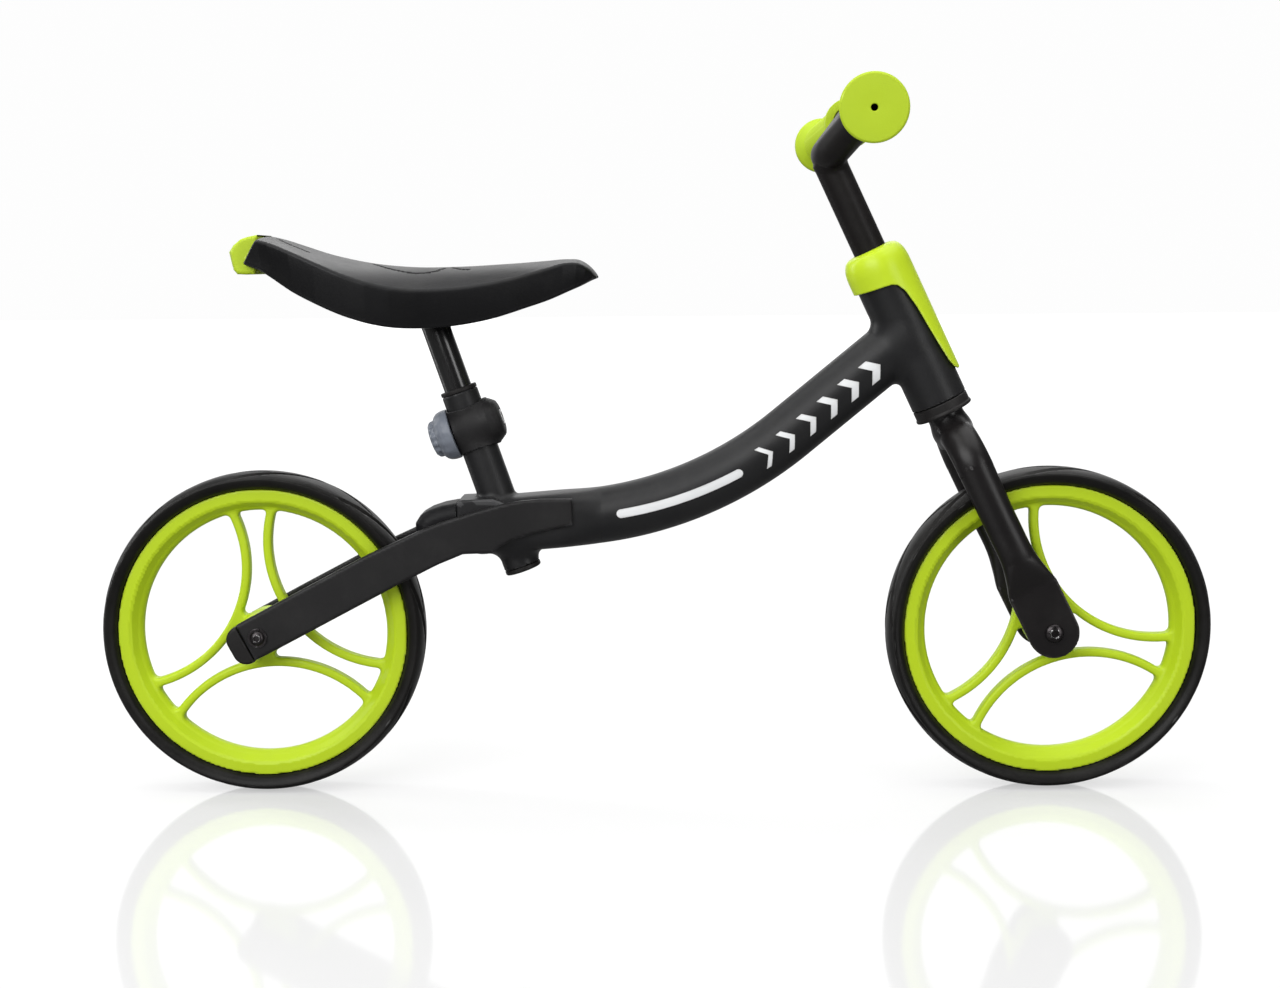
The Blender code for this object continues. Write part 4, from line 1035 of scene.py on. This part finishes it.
fork = {
    "neck": 12.1, "neckTop": -72.0, "neckLow": -140.0, "archDrop": 158.0, "archHalf": 27.5,
    "archRise": 27.0,
    "archThick": 8.6, "archWide": 11.8, "archForward": 0.4, "bladeOverlap": 4.0, "bladeEnd": 254.0,
    "plateTop": 246.0, "plateSide": 23.0, "plateHalf": 2.8, "plateRadius": 16.8, "plateForward": 1.8,
    "plateLean": 0.7, "axleDrop": 278.6, "axleForward": 2.5, "axleHole": 2.8, "neckFillet": 5.0,
    "squareness": ((224.0, 247.0), (2.0, 6.0)),
}
bladeStations = [
    # drop below the head, centre forward, half fore and aft, centre sideways, half sideways
    (150.0, 0.4, 11.8, 27.5, 8.6), (170.0, 0.4, 11.5, 27.8, 8.2), (200.0, 0.6, 11.3, 28.0, 7.5),
    (225.0, 1.2, 12.0, 27.2, 6.6), (238.0, 1.5, 14.6, 25.0, 4.5), (246.0, 1.8, 16.7, 23.2, 2.9),
    (252.0, 2.0, 16.6, 23.0, 2.0), (256.0, 2.2, 15.0, 23.0, 1.2),
]


def forkField(x, y, z):
    forward, up = inAxes(headAxes, x, z)
    drop = -up
    side = np.abs(y)
    neck = rodField(forward, y, up, fork["neck"], fork["neckLow"], fork["neckTop"], 0.5)
    squeeze = fork["archThick"] / fork["archWide"]
    rise = (fork["archDrop"] - drop) * fork["archHalf"] / fork["archRise"]
    arch = np.hypot(np.hypot(side, np.maximum(rise, 0)) - fork["archHalf"],
                    (forward - fork["archForward"]) * squeeze) - fork["archThick"]
    arch = np.maximum(arch, drop - fork["archDrop"])
    drops, middles, halves, centres, thicks = (np.array(column) for column in zip(*bladeStations))
    columns = (middles, halves, centres, thicks)
    middle, half, centre, thick = (smoothAlong(drop, drops, column) for column in columns)
    power = np.interp(drop, *fork["squareness"])
    along = np.abs((forward - middle) / half) ** power
    ratio = (along + np.abs((side - centre) / thick) ** power) ** (1 / power)
    blade = (ratio - 1) * np.minimum(half, thick) * 1.15
    blade = np.maximum(blade, fork["archDrop"] - fork["bladeOverlap"] - drop)
    blade = np.maximum(blade, drop - fork["bladeEnd"])
    run = np.clip(drop, fork["plateTop"], fork["axleDrop"])
    lean = fork["plateLean"] * (run - fork["plateTop"]) / (fork["axleDrop"] - fork["plateTop"])
    flat = np.hypot(forward - fork["plateForward"] - lean, drop - run) - fork["plateRadius"]
    flat = np.maximum(flat, fork["plateTop"] - drop)
    plate = thickened(flat, side - fork["plateSide"], fork["plateHalf"], 0.9)
    body = merged(np.minimum(np.minimum(arch, blade), plate), neck, fork["neckFillet"])
    hole = np.hypot(forward - fork["axleForward"], drop - fork["axleDrop"]) - fork["axleHole"]
    return carved(body, hole, 0.4)


fieldPiece("fork_skin", forkField, looks["forkPaint"], "steering",
           ["fork_crown", "fork_blade_right", "fork_blade_left"], 1.4)


# Handlebar, its stem with the weld, and the two grips

bar = {
    "radius": 11.1, "wall": 1.5, "vertex": (109.8, 0.0, 415.1), "elbow": (136.0, 56.0, 447.0),
    "end": (124.8, 175.0, 437.2), "cut": 172.0, "fillet": 30.0, "sides": 56, "stemRadius": 10.9,
    "stemLow": -70.0, "stemHigh": 64.0, "weld": 3.5, "weldRadius": 20.0, "sunk": 0.12, "weldReach": 16,
}


def barPoint(reach):
    elbow, end = Vector(bar["elbow"]), Vector(bar["end"])
    return elbow.lerp(end, (reach - elbow.y) / (end.y - elbow.y))


def barLine(steps=10):
    mirror = Vector((1, -1, 1))
    corners = [barPoint(bar["cut"]) * mirror, Vector(bar["elbow"]) * mirror, Vector(bar["vertex"]),
               Vector(bar["elbow"]), barPoint(bar["cut"])]
    line = [corners[0]]
    for before, corner, after in zip(corners, corners[1:], corners[2:]):
        back, ahead = (before - corner).normalized(), (after - corner).normalized()
        half = back.angle(ahead) / 2
        middle = corner + (back + ahead).normalized() * bar["fillet"] / math.sin(half)
        first = (corner + back * bar["fillet"] / math.tan(half) - middle).normalized()
        last = (corner + ahead * bar["fillet"] / math.tan(half) - middle).normalized()
        for step in range(steps + 1):
            line.append(middle + first.slerp(last, step / steps).normalized() * bar["fillet"])
    line.append(corners[-1])
    return line


def buildBar():
    line = barLine()
    vertex = Vector(bar["vertex"])
    plane = (Vector(bar["elbow"]) - vertex).cross(barPoint(bar["cut"]) - vertex)
    plane = Vector((plane.x, 0, plane.z)).normalized()
    outer, inner = [], []
    for index, point in enumerate(line):
        along = (line[min(index + 1, len(line) - 1)] - line[max(index - 1, 0)]).normalized()
        across = plane.cross(along).normalized()
        rise = along.cross(across)
        for rings, radius in ((outer, bar["radius"]), (inner, bar["radius"] - bar["wall"])):
            ring = []
            for step in range(bar["sides"]):
                angle = 2 * math.pi * step / bar["sides"]
                ring.append(point + (across * math.cos(angle) + rise * math.sin(angle)) * radius)
            rings.append(ring)
    places, faces = loftedMesh(outer + inner[::-1], closed=True)
    addPiece("handlebar_tube", places, faces, looks["barPaint"], "steering", ["handlebar"])


def barDistance(x, y, z):
    # distance to the handlebar's centre line, on the side of y
    side = np.abs(y)
    nearest = np.inf
    line = [point for point in barLine() if point.y >= -0.01][:bar["weldReach"]]
    for first, second in zip(line, line[1:]):
        edge = second - first
        along = (x - first.x) * edge.x + (side - first.y) * edge.y + (z - first.z) * edge.z
        share = np.clip(along / edge.length_squared, 0, 1)
        gap = (x - first.x - edge.x * share) ** 2 + (side - first.y - edge.y * share) ** 2
        nearest = np.minimum(nearest, gap + (z - first.z - edge.z * share) ** 2)
    return np.sqrt(nearest)


def stemField(x, y, z):
    forward, up = inAxes(headAxes, x, z)
    stem = rodField(forward, y, up, bar["stemRadius"], bar["stemLow"], bar["stemHigh"], 0.5)
    tube = barDistance(x, y, z) - bar["radius"]
    near = np.maximum(merged(stem, tube + bar["sunk"], bar["weld"]),
                      np.hypot(forward, y) - bar["weldRadius"])
    return np.maximum(near, -(tube + bar["wall"]))


buildBar()
fieldPiece("stem_post", stemField, looks["barPaint"], "steering", ["stem"], 1.1,
           box=boxAround(["stem"], 8.0))

grip = {"start": 66.0, "end": 175.0, "bore": 11.4, "inner": 17.0, "body": 14.0, "rib": 0.75, "ribs": 26,
        "flange": 19.9, "hole": 2.0}


def gripProfile(length):
    outside = [(0.0, grip["inner"]), (3.8, grip["inner"]), (5.6, grip["body"])]
    first, last = 8.0, length - 11.0
    for index in range(grip["ribs"]):
        low = first + (last - first) * index / grip["ribs"]
        pitch = (last - first) / grip["ribs"]
        outside += [(low, grip["body"]), (low + pitch * 0.25, grip["body"] + grip["rib"]),
                    (low + pitch * 0.7, grip["body"] + grip["rib"]), (low + pitch * 0.95, grip["body"])]
    outside += [(length - 9.0, grip["body"]), (length - 5.5, grip["flange"] - 1.0),
                (length - 4.2, grip["flange"]), (length - 0.9, grip["flange"]),
                (length, grip["flange"] - 1.1), (length, grip["hole"] + 0.4),
                (length - 0.5, grip["hole"])]
    inside = [(length - 2.6, grip["hole"]), (length - 2.6, grip["bore"]), (0.0, grip["bore"])]
    return [(radius, reach) for reach, radius in outside + inside]


def buildGrip(word, side):
    mirror = Vector((1, side, 1))
    start, end = barPoint(grip["start"]) * mirror, barPoint(grip["end"]) * mirror
    along = (end - start).normalized()
    across = Vector((0, 0, 1)).cross(along).normalized()
    columns = Matrix((across, along.cross(across), along)).transposed().to_4x4()
    place = Matrix.Translation(start) @ columns
    turnedPiece("grip_sleeve_" + word, gripProfile((end - start).length), place, "limeRubber", "steering",
                ["grip_" + word], ease=0.35, steps=72)


for word, side in (("right", -1.0), ("left", 1.0)):
    buildGrip(word, side)
print("stage: steering")


# Wheels: a one-piece spoked rim and a moulded tyre

wheel = {
    "radius": 108.0, "lip": 96.8, "inner": 81.5, "halfRim": 11.3, "flat": 89.6, "arcCentre": 104.0,
    "arcRadius": 82.4, "spokeHalf": 2.9, "spokeDeep": 5.0, "spokeEase": 2.2, "hub": 14.4, "hubHalf": 15.4,
    "hubFillet": 2.5, "ribHalf": 5.0, "ribReach": 11.0, "webEnd": 87.0, "bearing": 11.3,
    "bearingSeat": 8.1,
    "bore": 9.0, "rearTurn": 94.5, "frontTurn": 106.0, "fillet": 4.5, "tyreSteps": 300, "tyreCell": 0.75,
}
tread = {"repeats": 9, "span": 34.0, "from": 14.4, "to": -4.5, "half": 2.0, "deep": 1.5, "soft": 0.7,
         "shoulder": 104.6}


def buildRim(prefix, hub, turn):
    def field(x, y, z):
        dx, dz = x - hub[0], z - hub[1]
        radial = np.hypot(dx, dz)
        side = np.abs(y)
        lip, half = wheel["lip"], wheel["halfRim"]
        band = [(lip - 5.2, -4.0), (lip - 5.2, 8.0), (lip - 0.4, 8.6), (lip - 0.2, half - 0.5),
                (lip - 1.2, half), (wheel["flat"], half), (wheel["flat"] - 1.8, half - 0.9),
                (wheel["inner"] + 0.6, 2.4), (wheel["inner"], -4.0)]
        ring = outlineField(radial, side, band)
        arcs = np.inf
        for index in range(3):
            swing = math.radians(turn + 180 + 120 * index)
            cx, cz = wheel["arcCentre"] * math.cos(swing), wheel["arcCentre"] * math.sin(swing)
            arc = np.abs(np.hypot(dx - cx, dz - cz) - wheel["arcRadius"]) - wheel["spokeHalf"]
            arcs = arc if index == 0 else merged(arcs, arc, wheel["fillet"])
        ribs = np.inf
        for index in range(3):
            swing = math.radians(turn + 180 + 120 * index)
            out = dx * math.cos(swing) + dz * math.sin(swing)
            beside = np.abs(dz * math.cos(swing) - dx * math.sin(swing))
            length = np.abs(out - wheel["ribReach"]) - wheel["ribReach"]
            ribs = np.minimum(ribs, np.maximum(beside - wheel["ribHalf"], length))
        flat = merged(merged(arcs, ribs, wheel["hubFillet"]), radial - wheel["hub"], wheel["hubFillet"])
        flat = merged(flat, wheel["inner"] + 1.6 - radial, wheel["fillet"])
        web = kept(kept(flat, side - wheel["spokeDeep"], wheel["spokeEase"]), radial - wheel["webEnd"],
                   0.5)
        hubBody = kept(radial - wheel["hub"], side - wheel["hubHalf"], 1.0)
        body = merged(merged(web, ring, 1.4), hubBody, wheel["hubFillet"])
        seat = np.maximum(radial - wheel["bearing"], wheel["bearingSeat"] - side)
        return carved(carved(body, seat, 0.3), radial - wheel["bore"], 0.3)

    fieldPiece(prefix + "_wheel_casting", field, looks["limeWheel"], prefix + "_wheel",
               [prefix + "_rim"], 1.25)


def treadShape(radius, height, angle):
    # long slanted swooshes over the shoulder, offset between the two sides
    if radius < tread["shoulder"]:
        return radius
    deepest = 0.0
    for side in (-1, 1):
        shift = 0.0 if side > 0 else math.pi / tread["repeats"]
        turned = (math.degrees(angle + shift) % (360.0 / tread["repeats"])) / tread["span"]
        if turned < 1.0:
            centre = tread["from"] + (tread["to"] - tread["from"]) * turned ** 1.25
            half = tread["half"] * math.sin(math.pi * turned) ** 0.6 + 0.02
            inside = min(max((half - abs(side * height - centre)) / tread["soft"] + 0.5, 0.0), 1.0)
            deepest = max(deepest, inside * min(1.0, half))
    return radius - tread["deep"] * deepest


def tyreProfile():
    lip = wheel["lip"]
    half = [(lip + 0.15, 8.8), (lip + 0.15, 11.0), (lip + 0.5, 12.6), (98.7, 14.6), (100.8, 16.1),
            (102.8, 16.8), (103.9, 16.9), (104.1, 16.5), (104.4, 16.5), (104.7, 16.1), (105.9, 13.6),
            (106.9, 10.6), (107.6, 7.2), (107.95, 3.6)]
    outer = eased(half + [(wheel["radius"], 0.0)] + [(radius, -y) for radius, y in reversed(half)], 0.9)
    fine = []
    for (r1, y1), (r2, y2) in zip(outer, outer[1:]):
        pieces = max(1, int(math.hypot(r2 - r1, y2 - y1) / wheel["tyreCell"]))
        shares = [step / pieces for step in range(pieces)]
        fine += [(r1 + (r2 - r1) * share, y1 + (y2 - y1) * share) for share in shares]
    fine.append(outer[-1])
    return [(lip - 5.0, 7.5)] + fine + [(lip - 5.0, -7.5)]


def buildTyre(prefix, hub):
    places, faces = turnedMesh(tyreProfile(), wheel["tyreSteps"], alongSide(hub), treadShape)
    addPiece(prefix + "_tyre_moulding", places, faces, looks["tyreRubber"], prefix + "_wheel",
             [prefix + "_tyre"])


buildRim("rear", rearHub, wheel["rearTurn"])
buildRim("front", frontHub, wheel["frontTurn"])
for prefix, hub in (("rear", rearHub), ("front", frontHub)):
    buildTyre(prefix, hub)
print("stage: wheels")


# Axle hardware: bearings, spacers, washers and recessed screws on both sides

def boxSpan(node):
    low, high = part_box(node)
    return low.y / mm, high.y / mm, (high.x - low.x) / mm / 2


def buildRing(node, hub, bore, body, ease=0.4, look="zincSteel"):
    low, high, radius = boxSpan(node)
    profile = [(bore, low), (radius, low), (radius, high), (bore, high)]
    turnedPiece(node + "_ring", profile, alongSide(hub), look, body, [node], ease, 64)


def buildBearing(node, hub, body):
    low, high, radius = boxSpan(node)
    step = 0.5
    profile = [(4.3, low), (6.4, low), (6.6, low + step), (9.2, low + step), (9.4, low), (radius, low),
               (radius, high), (9.4, high), (9.2, high - step), (6.6, high - step), (6.4, high),
               (4.3, high)]
    turnedPiece(node + "_race", profile, alongSide(hub), "zincSteel", body, [node], 0.2,
                72)


screw = {"tall": 2.4, "rearHead": 4.9, "frontHead": 6.2, "shank": 2.5, "shankLong": 9.0,
         "socketDeep": 1.5,
         "socketTurn": 12, "socketShare": 0.40}


def buildScrew(node, hub, side, head):
    # a button head with a six-sided socket and a short shank
    low, high, _ = boxSpan(node)
    tip = high if side > 0 else -low
    tall = screw["tall"]

    def field(x, y, z):
        dx, dz = x - hub[0], z - hub[1]
        radial = np.hypot(dx, dz)
        out = side * y - tip
        dome = np.hypot(radial, (out + tall) * head / tall * 0.93) - head
        cap = kept(dome, -out - tall, 0.25)
        cap = np.maximum(cap, out)
        ends = np.maximum(out + tall - 0.4, -out - screw["shankLong"])
        shank = np.maximum(radial - screw["shank"], ends)
        socket = -out - screw["socketDeep"]
        for index in range(3):
            swing = math.radians(60 * index + screw["socketTurn"])
            flat = np.abs(dx * math.cos(swing) + dz * math.sin(swing)) - head * screw["socketShare"]
            socket = np.maximum(socket, flat)
        return np.minimum(carved(cap, socket, 0.18), shank)

    fieldPiece(node + "_head", field, looks["blackSteel"],
               "frame" if node.startswith("rear") else "steering", [node], 0.34,
               box=boxAround([node], 0.8))


for prefix, hub, holder in (("rear", rearHub, "frame"), ("front", frontHub, "steering")):
    for word, side in (("right", -1.0), ("left", 1.0)):
        buildBearing(f"{prefix}_bearing_{word}", hub, prefix + "_wheel")
        buildRing(f"{prefix}_axle_spacer_{word}", hub, 4.3, holder)
        buildScrew(f"{prefix}_axle_screw_{word}", hub, side, screw[prefix + "Head"])
    buildRing(prefix + "_hub_spacer", hub, 4.3, prefix + "_wheel")
for word in ("right", "left"):
    buildRing("rear_axle_washer_" + word, rearHub, 2.8, "frame", 0.2, "blackSteel")
print("stage: axle hardware")


# Saddle: a moulded shell with a soft crease along its side, and the lime grab tail

saddle = {
    "tailEase": 0.8, "creaseEase": 1.8, "bulge": 0.5, "edgeEase": 1.2, "wall": 3.2, "lip": 0.5,
    "lipHigh": 2.4,
    "openDeep": 8.0, "slopeShare": 0.93, "groove": 1.1, "grooveDeep": 0.9,
}
saddleStations = [
    # x, crown height, crease height, crease half-width, bottom height, bottom half-width
    (-275.0, 370.9, 367.8, 28.0, 358.4, 24.0), (-262.0, 370.8, 367.8, 34.0, 352.0, 30.0),
    (-251.8, 370.8, 367.6, 40.0, 348.4, 36.0), (-245.3, 369.4, 366.0, 43.0, 344.6, 39.0),
    (-230.7, 364.8, 360.4, 48.5, 335.2, 44.0), (-214.8, 359.6, 353.4, 52.5, 327.1, 47.5),
    (-198.8, 355.6, 346.4, 54.6, 320.1, 49.0), (-182.8, 352.6, 340.8, 54.6, 314.9, 48.6),
    (-166.8, 350.8, 337.0, 53.2, 311.9, 46.6), (-150.6, 349.9, 335.4, 50.4, 311.1, 43.6),
    (-134.0, 350.0, 335.6, 46.6, 311.8, 39.8), (-118.3, 350.5, 336.9, 42.6, 313.8, 36.4),
    (-102.1, 351.4, 339.6, 38.4, 317.2, 32.8), (-85.9, 352.4, 343.4, 34.4, 322.3, 29.4),
    (-69.8, 353.6, 348.0, 30.8, 327.7, 26.4), (-56.0, 354.6, 351.8, 27.8, 333.6, 23.8),
    (-48.0, 353.9, 351.4, 24.6, 337.0, 21.0), (-41.0, 349.4, 347.6, 18.0, 340.4, 15.6),
    (-36.0, 343.6, 342.6, 9.0, 342.4, 8.0), (-30.0, 336.0, 336.0, 4.0, 345.0, 4.0),
]
stationX, crownZ, creaseZ, creaseHalf, bottomZ, bottomHalf = np.array(saddleStations).T
saddlePlan = [
    (-283.0, -22.0), (-283.0, 22.0), (-274.0, 28.0), (-262.0, 34.0), (-251.8, 40.0), (-245.3, 43.0),
    (-230.7, 48.5), (-214.8, 52.5), (-198.8, 54.6), (-182.8, 54.6), (-166.8, 53.2), (-150.6, 50.4),
    (-134.0, 46.6), (-118.3, 42.6), (-102.1, 38.4), (-85.9, 34.4), (-69.8, 30.8), (-58.0, 28.2),
    (-50.0, 25.4), (-44.0, 21.6), (-39.2, 15.4), (-36.6, 8.8), (-35.7, 0.0),
]
saddlePlan += [(x, -y) for x, y in reversed(saddlePlan[1:-1]) if y > 22.0 or x > -100.0]
tailTop, tailTip = (-254.6, 367.0), (-263.4, 353.9)


def tailPlane(x, z):
    # distance behind the leaning face where the shell ends
    dx, dz = tailTip[0] - tailTop[0], tailTip[1] - tailTop[1]
    length = math.hypot(dx, dz)
    return ((x - tailTop[0]) * dz - (z - tailTop[1]) * dx) / length


def saddleTop(x, side):
    crown, crease, half = (smoothAlong(x, stationX, values) for values in (crownZ, creaseZ, creaseHalf))
    return crown - (crown - crease) * (side / half) ** 2


def saddleField(x, y, z):
    side = np.abs(y)
    top = (z - saddleTop(x, side)) * saddle["slopeShare"]
    crease, bottom = (smoothAlong(x, stationX, values) for values in (creaseZ, bottomZ))
    inset = smoothAlong(x, stationX, creaseHalf - bottomHalf)
    share = np.clip((crease - z) / np.maximum(crease - bottom, 4.0), 0, 1.2)
    bulge = saddle["bulge"] * np.sin(np.pi * np.clip(share, 0, 1))
    outer = outlineField(x, side, saddlePlan) + inset * share ** 1.5 - bulge
    lip = saddle["lip"] * np.clip(1 - (z - bottom) / saddle["lipHigh"], 0, 1)
    outer = outer - lip
    floor = (bottom - z) * saddle["slopeShare"]
    solid = kept(kept(top, outer, saddle["creaseEase"]), floor, saddle["edgeEase"])
    solid = kept(solid, tailPlane(x, z), saddle["tailEase"])
    wall = saddle["wall"]
    cavity = np.maximum(np.maximum(top + wall, outer + wall), tailPlane(x, z) + wall)
    cavity = np.maximum(cavity, bottom - z - saddle["openDeep"])
    solid = carved(solid, cavity, 0.8)
    depth = np.abs(z - saddleTop(x, side)) * saddle["groove"] / saddle["grooveDeep"]
    for line in saddleGrooves:
        cut = np.hypot(lineDistance(x, side, line), depth) - saddle["groove"]
        solid = carved(solid, cut, 0.25)
    return solid


def grooveCurve(points, steps=14):
    # a smooth curve through given points
    spots = [np.array(point, float) for point in points]
    spots = [2 * spots[0] - spots[1]] + spots + [2 * spots[-1] - spots[-2]]
    curve = []
    for index in range(1, len(spots) - 2):
        a, b, c, d = spots[index - 1:index + 3]
        for step in range(steps):
            t = step / steps
            curve.append(tuple(0.5 * (2 * b + (c - a) * t + (2 * a - 5 * b + 4 * c - d) * t ** 2
                                      + (3 * b - a - 3 * c + d) * t ** 3)))
    curve.append(tuple(spots[-2]))
    return curve


saddleGrooves = [
    grooveCurve([(-183.0, 9.0), (-170.0, 21.0), (-153.0, 26.0), (-141.0, 20.0), (-136.0, 10.0)], 6),
    grooveCurve([(-244.0, 12.0), (-236.0, 22.0), (-222.0, 28.0)], 5),
    grooveCurve([(-131.0, 8.0), (-127.0, 14.0), (-120.0, 17.0)], 4),
]

fieldPiece("saddle_skin", saddleField, looks["saddleSkin"], "seat", ["saddle_shell"], 1.1)

tail = {"ease": 2.0, "gap": 0.4, "halfWide": 25.0, "groove": 0.6, "grooveHigh": 350.6, "round": 8.0,
        "roundAt": 26.0, "roundFrom": -262.0, "roundOver": 14.0}
tailOutline = [
    (-278.0, 360.6), (-275.1, 364.8), (-268.4, 368.7), (-262.0, 370.2), (-255.0, 371.6), (-257.2, 346.2),
    (-264.0, 346.0), (-272.2, 346.3), (-275.4, 349.2), (-276.4, 353.4),
]


def tailField(x, y, z):
    back = tail["round"] * (y / tail["roundAt"]) ** 2
    share = np.clip((tail["roundFrom"] - x) / tail["roundOver"], 0, 1)
    flat = outlineField(x - back * share, z, tailOutline)
    body = thickened(flat, y, tail["halfWide"], tail["ease"])
    shellUnder = smoothAlong(x, stationX, bottomZ) - tail["gap"] - z
    body = carved(body, np.maximum(tailPlane(x, z) - tail["gap"], shellUnder), 0.5)
    return carved(body, np.hypot(z - tail["grooveHigh"], flat) - tail["groove"], 0.3)


fieldPiece("tail_grab", tailField, looks["limeRubber"], "seat", ["tail_grip"], 0.9,
           box=boxAround(["tail_grip"], 6.0))
print("stage: saddle")


# CAD pieces that stay: their finish comes from here

carried = {
    "rear_axle": "zincSteel", "front_axle": "zincSteel", "stem_pin": "zincSteel",
    "clamp_nut": "zincSteel",
    "clamp_bolt": "zincSteel", "clamp_washer": "zincSteel", "saddle_screw_rear": "blackSteel",
    "saddle_screw_front": "blackSteel", "saddle_base": "blackNylon", "post_plug": "blackNylon",
}
for node, look in carried.items():
    mesh = frame["nodes"][node].data
    mesh.materials.clear()
    mesh.materials.append(looks[look])
print("stage: carried pieces")
